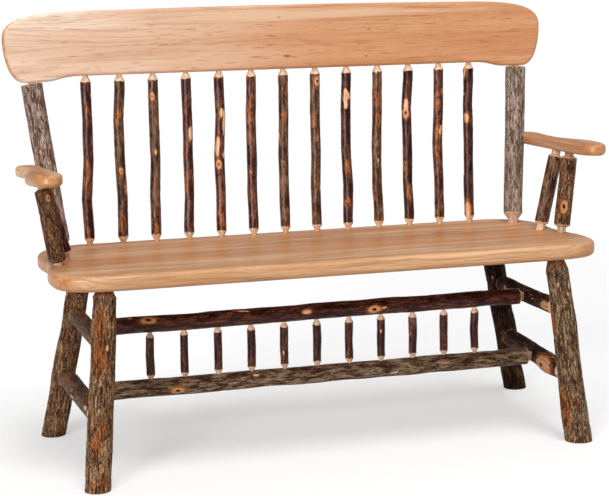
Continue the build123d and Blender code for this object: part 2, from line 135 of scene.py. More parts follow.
class Recipe:
    """Shader of one finish, built up node by node."""

    WOOD_IOR = 1.45
    VARNISH_IOR = 1.5
    VARNISH_ROUGHNESS = 0.28

    def __init__(self, name: str) -> None:
        """Start an empty shader.

        Args:
            name: Name of the finish.
        """
        self.material = bpy.data.materials.new(name)
        self.material.use_nodes = True
        self.tree = self.material.node_tree
        self.tree.nodes.clear()

    def feed(self, socket: Socket, value: Feed) -> None:
        """Set a socket to a value, or link it to another node's output.

        Args:
            socket: Input that is set.
            value: Plain value, or an output socket.
        """
        if isinstance(value, bpy.types.NodeSocket):
            self.tree.links.new(value, socket)
        elif socket.type == "RGBA" and len(value) == 3:
            socket.default_value = (*value, 1.0)
        else:
            socket.default_value = value

    def node(self, kind: str, feeds: dict[Union[str, int], Feed], **settings: Any) -> bpy.types.Node:
        """Add a node with its settings and inputs.

        Args:
            kind: Blender's name for the node type.
            feeds: Value or link of each input that isn't left alone.
            **settings: Settings of the node itself.

        Returns:
            The new node.
        """
        made = self.tree.nodes.new(kind)
        for name, value in settings.items():
            setattr(made, name, value)
        for place, value in feeds.items():
            self.feed(made.inputs[place], value)
        return made

    def attribute(self, name: str, output: str = "Fac") -> Socket:
        """Read one of a piece's own attributes."""
        return self.node("ShaderNodeAttribute", {}, attribute_name=name, attribute_type="GEOMETRY").outputs[output]

    def stretch(self, vector: Socket, scale: Sequence[float], shift: Sequence[float] = (0, 0, 0)) -> Socket:
        """Scale a position and then shift it."""
        return self.node("ShaderNodeMapping", {"Vector": vector, "Scale": scale, "Location": shift}).outputs["Vector"]

    def pattern(self, grain: Socket, pattern: Pattern) -> Socket:
        """Read a pattern at a place in the wood.

        Args:
            grain: Place along and across the grain.
            pattern: The pattern.

        Returns:
            Its value there.
        """
        place = self.stretch(grain, (1, 1, pattern.along), pattern.shift)
        feeds = {
            "Vector": place, "Scale": pattern.count, "Detail": pattern.octaves, "Roughness": pattern.rough,
            "Distortion": pattern.warp,
        }
        return self.node("ShaderNodeTexNoise", feeds).outputs["Fac"]

    def sum(self, first: Feed, second: Feed, how: Work = Work.ADD, third: Feed = 0.0) -> Socket:
        """Work out one number from one, two or three."""
        return self.node("ShaderNodeMath", {0: first, 1: second, 2: third}, operation=how.value).outputs[0]

    def vector_sum(self, how: str, first: Socket, second: Feed = (0, 0, 0)) -> Socket:
        """Work out a vector from two, or the length of one."""
        made = self.node("ShaderNodeVectorMath", {0: first, 1: second}, operation=how)
        return made.outputs["Value" if how == "LENGTH" else "Vector"]

    def window(self, value: Socket, rise: Rise) -> Socket:
        """Let a result rise smoothly while a number does."""
        feeds = {"Value": value, "From Min": rise.low, "From Max": rise.high, "To Min": rise.start, "To Max": rise.end}
        return self.node("ShaderNodeMapRange", feeds, interpolation_type="SMOOTHSTEP", clamp=True).outputs["Result"]

    def ramp(self, value: Socket, places: Sequence[float], *colours: Colour) -> Socket:
        """Colour that follows a number through several stops.

        Args:
            value: Number between 0 and 1.
            places: Place of each stop.
            *colours: Colour of each stop.

        Returns:
            The colour.
        """
        made = self.node("ShaderNodeValToRGB", {"Fac": value})
        band = made.color_ramp
        while len(band.elements) < len(places):
            band.elements.new(0.5)
        for element, place, colour in zip(band.elements, places, colours):
            element.position = place
            element.color = (*colour, 1.0)
        return made.outputs["Color"]

    def blend(self, share: Feed, under: Feed, over: Feed, how: str = "MIX") -> Socket:
        """Lay one colour over a share of another."""
        return self.node("ShaderNodeMix", {0: share, 6: under, 7: over}, data_type="RGBA", blend_type=how).outputs[2]

    def line(self, value: Socket, middle: float, width: float) -> Socket:
        """Pick out thin lines, where a pattern lies within width of its middle value."""
        away = self.sum(self.sum(value, -middle), 0.0, Work.SIZE)
        return self.window(away, Rise(0.0, width, 0.0, 1.0))

    def bump(self, height: Socket, depth: float, under: Optional[Socket] = None) -> Socket:
        """Fine relief in the shading.

        Args:
            height: Pattern of the relief, 0 to 1.
            depth: Depth of the relief in metres.
            under: Coarser relief that this one lies on.

        Returns:
            The shading normal.
        """
        feeds: dict[Union[str, int], Feed] = {"Height": height, "Distance": depth, "Strength": 1.0}
        if under is not None:
            feeds["Normal"] = under
        return self.node("ShaderNodeBump", feeds).outputs["Normal"]

    def surface(
        self, colour: Socket, rough: Feed, normal: Socket, gloss: float, varnish: float = 0.0, sheen: Colour = (1, 1, 1)
    ) -> None:
        """Finish the shader as varnished wood.

        Args:
            colour: Base colour.
            rough: Roughness of the wood.
            normal: Shading normal.
            gloss: Strength of the wood's own reflection, 0.5 for bare glossy plastic.
            varnish: Weight of the clear coat.
            sheen: Colour of the wood's own reflection.
        """
        feeds = {
            "Base Color": colour, "Roughness": rough, "Normal": normal, "IOR": self.WOOD_IOR,
            "Specular IOR Level": gloss, "Specular Tint": sheen, "Coat Weight": varnish,
            "Coat Roughness": self.VARNISH_ROUGHNESS, "Coat IOR": self.VARNISH_IOR,
        }
        shader = self.node("ShaderNodeBsdfPrincipled", feeds)
        self.node("ShaderNodeOutputMaterial", {"Surface": shader.outputs["BSDF"]})


@dataclass(frozen=True)
class BarkFinish:
    """Hickory bark under a thin varnish, with bare wood where the bark has gone."""

    name: str
    deep: Colour
    middle: Colour
    light: Colour
    crust: Colour
    crust_share: float = 0.2
    rust_share: float = 0.3
    rust_deep: Colour = from_srgb(112, 52, 20)
    rust_light: Colour = from_srgb(196, 116, 58)
    bare_deep: Colour = from_srgb(206, 150, 104)
    bare_light: Colour = from_srgb(240, 214, 188)
    eye_ring: Colour = from_srgb(158, 88, 40)
    eye_pale: Colour = from_srgb(226, 176, 128)
    eye_middle: Colour = from_srgb(52, 22, 10)
    speck: Colour = from_srgb(188, 160, 134)
    sheen: Colour = (1.0, 0.84, 0.76)
    crack: float = 0.8
    crack_count: float = 330.0
    streakiness: float = 0.6
    streak_length: float = 0.16
    depth: float = 0.0010
    rough: float = 0.52
    gloss: float = 0.15

    STREAKS = Pattern(560, octaves=5, rough=0.72, warp=0.6)
    FLECKS = Pattern(700, 0.45, 3, 0.7, shift=(2.9, 6.1, 0.2))
    CRACK_WEB = Pattern(330, 0.17, 3, 0.6, 0.9, (9.3, 4.4, 1.7))
    PATCHES = Pattern(72, 0.30, 4, 0.6, 0.5)
    CRUST = Pattern(70, 0.4, 5, 0.66, 0.5, (3.1, 0.7, 5.3))
    RUST = Pattern(60, 0.30, 4, 0.62, 0.6, (5.2, 1.4, 8.8))
    FIBRES = Pattern(300, 0.05, 4, 0.6, shift=(7.7, 2.3, 1.9))
    # Relief in the shading: depths are shares of the finish's own depth.
    CRACK_LINE = (0.5, 0.060)
    CRACK_DEPTH = 0.8
    FLECK_DEPTH = 0.4
    FLECK_ROUGHNESS = 0.16
    # Tones of the bark, what lies on it, and the painted shade in its furrows.
    TONES = (0.41, 0.49, 0.58)
    TONE_WEIGHT = 1.1
    TONE_SHIFT = -0.05
    COVER_FROM = 0.68
    CRUST_COVER = (0.4, 0.08, 0.75)
    RUST_COVER = (0.3, 0.15, 0.8)
    RUST_TONES = (0.38, 0.58)
    RUST_STRENGTH = 0.9
    SPECKS = Rise(0.64, 0.74, 0.55)
    PITS = Rise(0.36, 0.28, 0.6)
    FURROW_SHADE = Rise(0.25, 0.85, 0.85)
    # Bare wood, its torn edge and the eye of a knot.
    TORN = (0.8, -0.40)
    BARE_TONES = (0.36, 0.60)
    TAN_TONES = (0.36, 0.62)
    TAN_STRENGTH = 0.75
    BARE = Rise(0.34, 0.54)
    BORDER_IN = Rise(0.12, 0.36)
    BORDER_OUT = Rise(0.42, 0.85, 0.0, 0.9)
    EYE = Rise(0.10, 0.40)
    EYE_WOBBLE = 0.2
    EYE_SHIFT = -0.1
    EYE_RINGS = (0.26, 0.42, 0.54, 0.64, 0.74)

    def material(self) -> bpy.types.Material:
        """Build the shader.

        Returns:
            The bark's material.
        """
        recipe = Recipe(self.name)
        grain = recipe.attribute("grain", "Vector")
        streaks = recipe.pattern(grain, replace(self.STREAKS, along=self.streak_length))
        flecks = recipe.pattern(grain, self.FLECKS)
        web = recipe.pattern(grain, replace(self.CRACK_WEB, count=self.crack_count))
        cracks = recipe.line(web, *self.CRACK_LINE)
        colour = self.wood(recipe, self.bark(recipe, grain, streaks, flecks, cracks), grain, streaks)
        rough = recipe.sum(flecks, self.FLECK_ROUGHNESS, Work.SCALED, self.rough)
        relief = recipe.sum(cracks, -self.CRACK_DEPTH * self.crack, Work.SCALED, streaks)
        coarse = recipe.bump(relief, self.depth)
        fine = recipe.bump(flecks, self.FLECK_DEPTH * self.depth, coarse)
        recipe.surface(colour, rough, fine, self.gloss, sheen=self.sheen)
        return recipe.material

    def cover(self, share: float, spread: float, edge: float, most: float) -> Rise:
        """Rise of what lies on the bark, which starts at a lower value the larger its share."""
        start = self.COVER_FROM - share * spread
        return Rise(start, start + edge, most)

    def bark(self, recipe: Recipe, grain: Socket, streaks: Socket, flecks: Socket, cracks: Socket) -> Socket:
        """Colour the bark itself, with painted shade in the furrows of the mesh.

        Args:
            recipe: Shader that is built.
            grain: Position along and across the pole.
            streaks: Streaky pattern along the pole.
            flecks: Pattern of small flecks.
            cracks: Pattern of fine cracks, 1 in a crack.

        Returns:
            The bark's colour.
        """
        fine = recipe.sum(streaks, self.streakiness, Work.SCALED, self.TONE_SHIFT)
        patches = recipe.pattern(grain, self.PATCHES)
        tone = recipe.sum(patches, self.TONE_WEIGHT - self.streakiness, Work.SCALED, fine)
        bark = recipe.ramp(tone, self.TONES, self.deep, self.middle, self.light)
        crust = recipe.window(recipe.pattern(grain, self.CRUST), self.cover(self.crust_share, *self.CRUST_COVER))
        bark = recipe.blend(crust, bark, self.crust)
        rust = recipe.window(recipe.pattern(grain, self.RUST), self.cover(self.rust_share, *self.RUST_COVER))
        share = recipe.sum(rust, recipe.attribute("rust"), Work.LARGER)
        orange = recipe.ramp(streaks, self.RUST_TONES, self.rust_deep, self.rust_light)
        bark = recipe.blend(recipe.sum(share, self.RUST_STRENGTH, Work.TIMES), bark, orange)
        bark = recipe.blend(recipe.window(flecks, self.SPECKS), bark, self.speck)
        bark = recipe.blend(recipe.window(flecks, self.PITS), bark, self.deep)
        bark = recipe.blend(recipe.sum(cracks, self.crack, Work.TIMES), bark, self.deep)
        # Painted shade: where the mesh has furrows, the bark is darkened towards its deep colour.
        return recipe.blend(recipe.window(recipe.attribute("furrow"), self.FURROW_SHADE), bark, self.deep)

    def wood(self, recipe: Recipe, bark: Socket, grain: Socket, streaks: Socket) -> Socket:
        """Lay bare wood and the eyes of knots over the bark.

        Args:
            recipe: Shader that is built.
            bark: Colour of the bark.
            grain: Position along and across the pole.
            streaks: Streaky pattern along the pole.

        Returns:
            The pole's colour.
        """
        wobble, shift = self.TORN
        bare = recipe.sum(recipe.attribute("bare"), recipe.sum(streaks, wobble, Work.SCALED, shift))
        eye = recipe.attribute("eye")
        fibres = recipe.pattern(grain, self.FIBRES)
        wood = recipe.ramp(fibres, self.BARE_TONES, self.bare_deep, self.bare_light)
        tan = recipe.ramp(fibres, self.TAN_TONES, self.rust_light, self.eye_pale)
        wood = recipe.blend(recipe.sum(recipe.attribute("rust"), self.TAN_STRENGTH, Work.TIMES), wood, tan)
        colour = recipe.blend(recipe.window(bare, self.BARE), bark, wood)
        border = recipe.sum(recipe.window(bare, self.BORDER_IN), recipe.window(bare, self.BORDER_OUT), Work.TIMES)
        colour = recipe.blend(border, colour, self.eye_ring)
        rings = recipe.ramp(
            recipe.sum(streaks, self.EYE_WOBBLE, Work.SCALED, recipe.sum(eye, self.EYE_SHIFT)), self.EYE_RINGS,
            self.rust_light, self.eye_pale, self.rust_light, self.rust_deep, self.eye_middle,
        )
        return recipe.blend(recipe.window(eye, self.EYE), colour, rings)


@dataclass(frozen=True)
class Mark:
    """Pin knot, streak, band or painted highlight in a planed board, at a place in the bench's own coordinates."""

    place: Place
    reach: Place
    strength: float
    colour: Colour


@dataclass(frozen=True)
class PlanedFinish:
    """Planed hickory under a clear satin varnish."""

    name: str
    pale: Colour
    middle: Colour
    warm: Colour
    streak: Colour
    end_deep: Colour = from_srgb(168, 98, 48)
    end_light: Colour = from_srgb(214, 150, 92)
    line: float = 0.0065
    line_strength: float = 0.3
    streak_strength: float = 0.5
    dash_strength: float = 0.5
    gloss: float = 0.25
    varnish: float = 0.0
    warm_end: Optional[Colour] = None
    marks: tuple[Mark, ...] = ()

    CLOUDS = Pattern(24, 0.07, 3, 0.55, 0.3)
    FIBRES = Pattern(420, 0.02, 4, 0.65)
    STREAKS = Pattern(90, 0.045, 4, 0.6, 0.25, (4.1, 8.2, 0.4))
    DASHES = Pattern(380, 0.06, 3, 0.55, 0.4, (1.3, 5.2, 7.4))
    DRIFT = Pattern(15, 0.14, 3, 0.55, shift=(0.6, 0.2, 3.3))
    FADE = Pattern(20, 0.2, 2, 0.5, shift=(8.8, 1.1, 2.7))
    # Tones of the board, and where streaks, dashes and lines show.
    TONES = (0.38, 0.50, 0.62)
    CLOUD_WEIGHT = 0.8
    FIBRE_WEIGHT = 0.28
    TONE_SHIFT = -0.04
    STREAKED = Rise(0.54, 0.72)
    DASHED = Rise(0.57, 0.70)
    LINED = Rise(0.1, 1.0)
    UNFADED = Rise(0.36, 0.60)
    DRIFT_REACH = 0.034
    WARM_SPAN = Rise(-0.66, 0.22)  # along the bench
    # End grain, and the satin surface.
    END_TONES = (0.36, 0.62)
    END_STRENGTH = 0.7
    ROUGH = 0.40
    FIBRE_ROUGHNESS = 0.10
    FIBRE_DEPTH = 0.00012
    # Outline of a mark.
    MARK_EDGE = (0.25, 1.0)
    MARK_WOBBLE = 1.6
    MARK_SHIFT = -0.8

    def material(self) -> bpy.types.Material:
        """Build the shader.

        Returns:
            The planed wood's material.
        """
        recipe = Recipe(self.name)
        grain = recipe.attribute("grain", "Vector")
        clouds = recipe.pattern(grain, self.CLOUDS)
        fibres = recipe.pattern(grain, self.FIBRES)
        fine = recipe.sum(fibres, self.FIBRE_WEIGHT, Work.SCALED, self.TONE_SHIFT)
        tone = recipe.sum(clouds, self.CLOUD_WEIGHT, Work.SCALED, fine)
        colour = recipe.ramp(tone, self.TONES, self.warm, self.middle, self.pale)
        streaks = recipe.pattern(grain, self.STREAKS)
        dashes = recipe.pattern(grain, self.DASHES)
        for share in (
            recipe.window(streaks, replace(self.STREAKED, end=self.streak_strength)),
            self.lines(recipe, grain),
            recipe.window(dashes, replace(self.DASHED, end=self.dash_strength)),
        ):
            colour = recipe.blend(share, colour, self.streak)
        place = recipe.node("ShaderNodeTexCoord", {}).outputs["Object"]
        if self.warm_end is not None:
            across = recipe.node("ShaderNodeSeparateXYZ", {0: place}).outputs["X"]
            warmed = recipe.blend(1.0, colour, self.warm_end, "MULTIPLY")
            colour = recipe.blend(recipe.window(across, self.WARM_SPAN), colour, warmed)
        for mark in self.marks:
            colour = self.mark(recipe, colour, place, mark, streaks)
        cut = recipe.ramp(streaks, self.END_TONES, self.end_deep, self.end_light)
        colour = recipe.blend(recipe.sum(recipe.attribute("end"), self.END_STRENGTH, Work.TIMES), colour, cut)
        rough = recipe.sum(fibres, self.FIBRE_ROUGHNESS, Work.SCALED, self.ROUGH)
        recipe.surface(colour, rough, recipe.bump(fibres, self.FIBRE_DEPTH), self.gloss, self.varnish)
        return recipe.material

    def lines(self, recipe: Recipe, grain: Socket) -> Socket:
        """Thin lines of the growth rings, which wander along the board.

        Args:
            recipe: Shader that is built.
            grain: Position in the tree that the board was sawn from.

        Returns:
            How dark the lines are.
        """
        drift = recipe.sum(recipe.pattern(grain, self.DRIFT), -0.5)
        from_pith = recipe.vector_sum("LENGTH", recipe.stretch(grain, (1, 1, 0)))
        radius = recipe.sum(drift, self.DRIFT_REACH, Work.SCALED, from_pith)
        wave = recipe.sum(recipe.sum(radius, math.tau / self.line, Work.TIMES), 0.0, Work.WAVE)
        lines = recipe.window(wave, replace(self.LINED, end=self.line_strength))
        return recipe.sum(lines, recipe.window(recipe.pattern(grain, self.FADE), self.UNFADED), Work.TIMES)

    def mark(self, recipe: Recipe, under: Socket, place: Socket, mark: Mark, wobble: Socket) -> Socket:
        """Lay one mark over the wood.

        Args:
            recipe: Shader that is built.
            under: Colour of the wood.
            place: Position in the bench's own coordinates.
            mark: The mark.
            wobble: Pattern that roughens the mark's outline.

        Returns:
            The new colour.
        """
        off = recipe.vector_sum("SUBTRACT", place, mark.place)
        away = recipe.vector_sum("LENGTH", recipe.vector_sum("DIVIDE", off, mark.reach))
        away = recipe.sum(wobble, self.MARK_WOBBLE, Work.SCALED, recipe.sum(away, self.MARK_SHIFT))
        return recipe.blend(recipe.window(away, Rise(*self.MARK_EDGE, 0.0, mark.strength)), under, mark.colour)


MAROON_BARK = BarkFinish(
    "maroon_bark", deep=from_srgb(36, 6, 5), middle=from_srgb(78, 32, 22), light=from_srgb(134, 82, 58),
    crust=from_srgb(122, 98, 75), crust_share=0.10, rust_share=0.36, crack=0.25, streakiness=0.42,
    streak_length=0.35, depth=0.00012, rough=0.20, gloss=0.28,
)
UMBER_BARK = BarkFinish(
    "umber_bark", deep=from_srgb(36, 13, 6), middle=from_srgb(94, 56, 33), light=from_srgb(150, 110, 76),
    crust=from_srgb(132, 108, 74), crust_share=0.20, rust_share=0.42, crack=0.4, streakiness=0.48,
    streak_length=0.35, depth=0.00015, rough=0.22, gloss=0.26,
)
MOTTLED_BARK = BarkFinish(
    "mottled_bark", deep=from_srgb(50, 26, 16), middle=from_srgb(122, 92, 66), light=from_srgb(178, 150, 122),
    crust=from_srgb(132, 120, 88), crust_share=0.30, rust_share=0.30, crack=0.5, crack_count=230.0,
    streakiness=0.42, streak_length=0.30, rough=0.34,
)
BROWN_BARK = BarkFinish(
    "brown_bark", deep=from_srgb(52, 24, 12), middle=from_srgb(136, 92, 58), light=from_srgb(200, 166, 126),
    crust=from_srgb(146, 124, 82), crust_share=0.26, rust_share=0.50, crack=0.85, crack_count=260.0, streakiness=0.80,
    streak_length=0.26,
)
FURROWED_BARK = BarkFinish(
    "furrowed_bark", deep=from_srgb(52, 28, 16), middle=from_srgb(132, 98, 66), light=from_srgb(190, 162, 126),
    crust=from_srgb(148, 130, 92), crust_share=0.32, rust_share=0.34, crack=0.95, crack_count=280.0,
    streakiness=0.80, streak_length=0.26,
)
GREY_BARK = BarkFinish(
    "grey_bark", deep=from_srgb(76, 46, 36), middle=from_srgb(164, 134, 118), light=from_srgb(224, 204, 190),
    crust=from_srgb(174, 152, 132), crust_share=0.30, rust_share=0.32, crack=0.7, crack_count=320.0, streakiness=0.75,
)
OLIVE_BARK = BarkFinish(
    "olive_bark", deep=from_srgb(88, 64, 52), middle=from_srgb(168, 144, 126), light=from_srgb(218, 200, 184),
    crust=from_srgb(172, 158, 130), crust_share=0.34, rust_share=0.14, crack=0.85, crack_count=340.0,
    streakiness=0.75, streak_length=0.10,
)
DARK_BARK = BarkFinish(
    "dark_bark", deep=from_srgb(28, 5, 4), middle=from_srgb(60, 22, 17), light=from_srgb(106, 60, 44),
    crust=from_srgb(94, 70, 52), crust_share=0.10, rust_share=0.28, crack=0.25, streakiness=0.42,
    streak_length=0.30, depth=0.00012, rough=0.20, gloss=0.26,
)
SOOTY_BARK = replace(
    DARK_BARK, name="sooty_bark", middle=from_srgb(50, 26, 15), light=from_srgb(108, 78, 50), crack=0.8,
    crack_count=260.0, depth=0.0008, rough=0.55, gloss=0.1,
)
RUSSET_BARK = replace(
    BROWN_BARK, name="russet_bark", middle=from_srgb(106, 68, 42), light=from_srgb(168, 130, 92), rust_share=0.58,
    crust=from_srgb(116, 104, 66), rough=0.42,
)
PIN_KNOT = from_srgb(128, 76, 46)
# Colour of a painted highlight along the crest rail's top edge.
TOP_EDGE_HIGHLIGHT = from_srgb(236, 202, 170)
CREST_WOOD = PlanedFinish(
    "crest_hickory", pale=from_srgb(244, 220, 200), middle=from_srgb(237, 205, 180), warm=from_srgb(229, 192, 164),
    streak=from_srgb(186, 134, 102), warm_end=(0.75, 0.50, 0.32), line_strength=0.26,
    streak_strength=0.26, dash_strength=0.75, gloss=0.2,
    marks=(
        # Painted highlight: a pale band along the rail's top edge.
        Mark((-0.02, 0.22, 0.986), (0.62, 0.06, 0.020), 0.65, TOP_EDGE_HIGHLIGHT),
        Mark((0.0076, 0.2196, 0.8849), (0.012, 0.02, 0.004), 0.8, PIN_KNOT),
        Mark((0.2093, 0.2193, 0.8786), (0.006, 0.02, 0.003), 0.7, PIN_KNOT),
        Mark((0.2190, 0.2230, 0.9438), (0.007, 0.02, 0.004), 0.5, PIN_KNOT),
        Mark((-0.0093, 0.2250, 0.9785), (0.006, 0.02, 0.003), 0.4, PIN_KNOT),
    ),
)
SEAT_WOOD = PlanedFinish(
    "seat_hickory", pale=from_srgb(222, 176, 134), middle=from_srgb(200, 148, 104), warm=from_srgb(180, 124, 80),
    streak=from_srgb(152, 98, 60), varnish=0.30,
    marks=(Mark((0.357, 0.0601, 0.457), (0.060, 0.006, 0.02), 0.9, PIN_KNOT),),
)
ARM_WOOD = PlanedFinish(
    "arm_hickory", pale=from_srgb(226, 180, 138), middle=from_srgb(208, 155, 112), warm=from_srgb(184, 126, 80),
    streak=from_srgb(142, 90, 52), line=0.005, line_strength=0.45, varnish=0.3,
)


class FinishShelf:
    """Keeps one material for each finish, so that pieces share them."""

    def __init__(self) -> None:
        """Start with an empty shelf."""
        self.made: dict[str, bpy.types.Material] = {}

    def take(self, finish: Union[BarkFinish, PlanedFinish]) -> bpy.types.Material:
        """Give the material of a finish, and build it the first time.

        Args:
            finish: The finish.

        Returns:
            Its material.
        """
        if finish.name not in self.made:
            self.made[finish.name] = finish.material()
        return self.made[finish.name]


# ---------------------------------------------------------------- poles


@dataclass(frozen=True)
class Tip:
    """Whittled tip of a pole: tenon, cone and the place where the bark starts."""

    tenon: float
    cone_from: float
    bark_from: float

    @property
    def sawn(self) -> bool:
        """Whether the pole is sawn off here and has no tenon."""
        return self.tenon == 0.0

    def longer_bark(self, share: float, skirt: float) -> "Tip":
        """Leave a share of the cone's length, and move cone and bark down the tenon by the skirt."""
        cone = self.bark_from - self.cone_from
        return Tip(self.tenon, self.cone_from - skirt, self.cone_from - skirt + share * cone)


SAWN = Tip(0.0, 0.0, 0.0)


class Girth(NamedTuple):
    """Wander of a pole off its line, towards its facing side and aside, and its radius."""

    toward: float
    aside: float
    radius: float


class PoleGauge:
    """Measures a pole: its straight line, its wander off that line and its girth."""

    ON_FLOOR = 0.0005  # corners below this height stand on the floor
    END_FACE = 0.0008  # corners this near to an end belong to its face
    ROUNDS = 5  # times that the line is fitted again
    UPWARD = (0.1, 0.3, 1.0)  # a pole runs up, or else to the back, or else to the left
    STEEP_TO_BACK = 0.8
    REACH = 0.08  # distance from the line at which a ray starts
    RAYS = 16
    FIRST_RAY = 0.05
    FEWEST_HITS = 8
    STRAY = 0.006  # hits this far inside the usual radius lie in a socket
    FINE = 0.00025  # step of the search along a tip
    LOOK = 0.07  # length of that search
    ON_TENON = 8  # step at which the tenon is measured
    CONE_GROWN = 0.0004
    CONE_LEFT = 0.0002

    def __init__(self, node: bpy.types.Object) -> None:
        """Find the line of a pole.

        Args:
            node: The pole as it came from the frame.
        """
        solid = bmesh.new()
        solid.from_mesh(node.data)
        bmesh.ops.remove_doubles(solid, verts=solid.verts, dist=MERGE)
        self.tree = BVHTree.FromBMesh(solid)
        places = np.array([v.co[:] for v in solid.verts])
        solid.free()
        on_floor = places[:, 2] < self.ON_FLOOR
        self.stands = bool(on_floor.any())
        middle = places.mean(0)
        axis = np.linalg.svd(places - middle, full_matrices=False)[2][0]
        axis = axis if axis @ np.array(self.UPWARD) > 0 else -axis
        for _ in range(self.ROUNDS):
            along = (places - middle) @ axis
            foot = places[on_floor] if self.stands else places[along < along.min() + self.END_FACE]
            head = places[along > along.max() - self.END_FACE]
            start = foot.mean(0)
            axis = head.mean(0) - start
            axis /= np.linalg.norm(axis)
        self.start = Vector(start)
        self.axis = Vector(axis)
        self.length = float((head.mean(0) - start) @ axis)
        facing = Vector((0, -1, 0)) if abs(self.axis.y) < self.STEEP_TO_BACK else Vector((-1, 0, 0))
        self.facing = (facing - self.axis * facing.dot(self.axis)).normalized()
        self.aside = self.axis.cross(self.facing)

    def out(self, angle: float) -> Vector:
        """Direction away from the line at an angle from the facing side."""
        return self.facing * math.cos(angle) + self.aside * math.sin(angle)

    def slice(self, along: float) -> Optional[Girth]:
        """Fit a circle to the pole at one place.

        Args:
            along: Distance from the pole's start.

        Returns:
            The pole's girth there, or None where nothing is hit.
        """
        spots = []
        for number in range(self.RAYS):
            out = self.out(number * math.tau / self.RAYS + self.FIRST_RAY)
            origin = self.start + self.axis * along + out * self.REACH
            hit = self.tree.ray_cast(origin, -out, self.REACH)[0]
            if hit is not None:
                off = hit - self.start
                spots.append((off.dot(self.facing), off.dot(self.aside)))
        if len(spots) < self.FEWEST_HITS:
            return None
        found = np.array(spots)
        far = np.hypot(found[:, 0], found[:, 1])
        found = found[far > np.median(far) - self.STRAY]
        sides = np.c_[2 * found, np.ones(len(found))]
        fit = np.linalg.lstsq(sides, (found**2).sum(1), rcond=None)[0]
        return Girth(fit[0], fit[1], math.sqrt(fit[2] + fit[0] ** 2 + fit[1] ** 2))

    def tip(self, from_head: bool) -> Tip:
        """Find the tenon, cone and first bark at one end.

        Args:
            from_head: True for the far end of the pole.

        Returns:
            The tip, with its places measured from that end.
        """
        if self.stands and not from_head:
            return SAWN
        radii = []
        for step in range(1, int(self.LOOK / self.FINE)):
            away = step * self.FINE
            found = self.slice(self.length - away if from_head else away)
            radii.append(0.0 if found is None else found.radius)
        tenon, full = radii[self.ON_TENON], radii[-1]
        cone_from = next(i for i, r in enumerate(radii) if r > tenon + self.CONE_GROWN)
        bark_from = next(i for i, r in enumerate(radii) if r > full - self.CONE_LEFT)
        slope = (full - tenon) / max(1, bark_from - cone_from)
        cone = (cone_from + 1 - self.CONE_GROWN / slope) * self.FINE
        return Tip(tenon, cone, (bark_from + 1 + self.CONE_LEFT / slope) * self.FINE)


@dataclass(frozen=True)
class Knot:
    """Spot on a pole: a swelling where a branch grew, a rubbed patch, bare wood or an eye."""

    along: float  # from the pole's start
    around: float  # angle from its facing side
    size: float
    slim: float = 0.4  # width as a share of the length
    rise: float = 0.0
    bare: float = 0.0
    eye: float = 0.0
    rust: float = 0.0


def rubbed(along: float, around: float, size: float, slim: float = 0.4) -> Knot:
    """Orange-brown patch where the outer bark is rubbed through."""
    return Knot(along, around, size, slim, rise=0.0008, rust=1.0)


def stripped(along: float, around: float, size: float, slim: float = 0.35) -> Knot:
    """Pale patch where the bark has come away from the wood."""
    return Knot(along, around, size, slim, rise=0.0010, bare=1.0, rust=0.45)


def eyed(along: float, around: float, size: float, slim: float = 0.55, rise: float = 0.0018) -> Knot:
    """Branch knot with rings and a dark middle."""
    return Knot(along, around, size, slim, rise=rise, bare=1.0, eye=1.0, rust=1.0)


def scar(along: float, around: float, size: float, slim: float = 0.6, rise: float = 0.0020) -> Knot:
    """Tan, healed-over wood where a branch was cut away."""
    return Knot(along, around, size, slim, rise=rise, bare=1.0, rust=1.0)


@dataclass(frozen=True)
class Relief:
    """Roughness of a pole's bark."""

    furrow_depth: float
    furrow_pitch: float
    furrow_length: float
    wander: float = 0.0012
    swell: float = 0.0007
    bare_share: float = 0.1
    bare_patch: float = 0.016
    rings: float = 0.003  # distance from one ring of corners to the next
    sides: int = 48
    spot_spacing: float = 0.13
    cone_share: float = 1.0  # share of a whittled cone that the bark leaves free


class Ring(NamedTuple):
    """Ring of corners round a pole: its place, 1 on bark and 0 elsewhere, and how far up a cone it is."""

    along: float
    barked: float
    coned: float


class Skin(NamedTuple):
    """Values of the pole's surface that its shader reads."""

    furrow: float
    bare: float
    eye: float
    rust: float


WHITTLED = Skin(0.0, 1.0, 0.0, 0.0)


def in_clouds(place: Vector, along: float, wide: float, long: float) -> Vector:
    """Place in a noise whose clouds are wide across the pole and long along it."""
    return place / wide + Vector((0, 0, along / long))


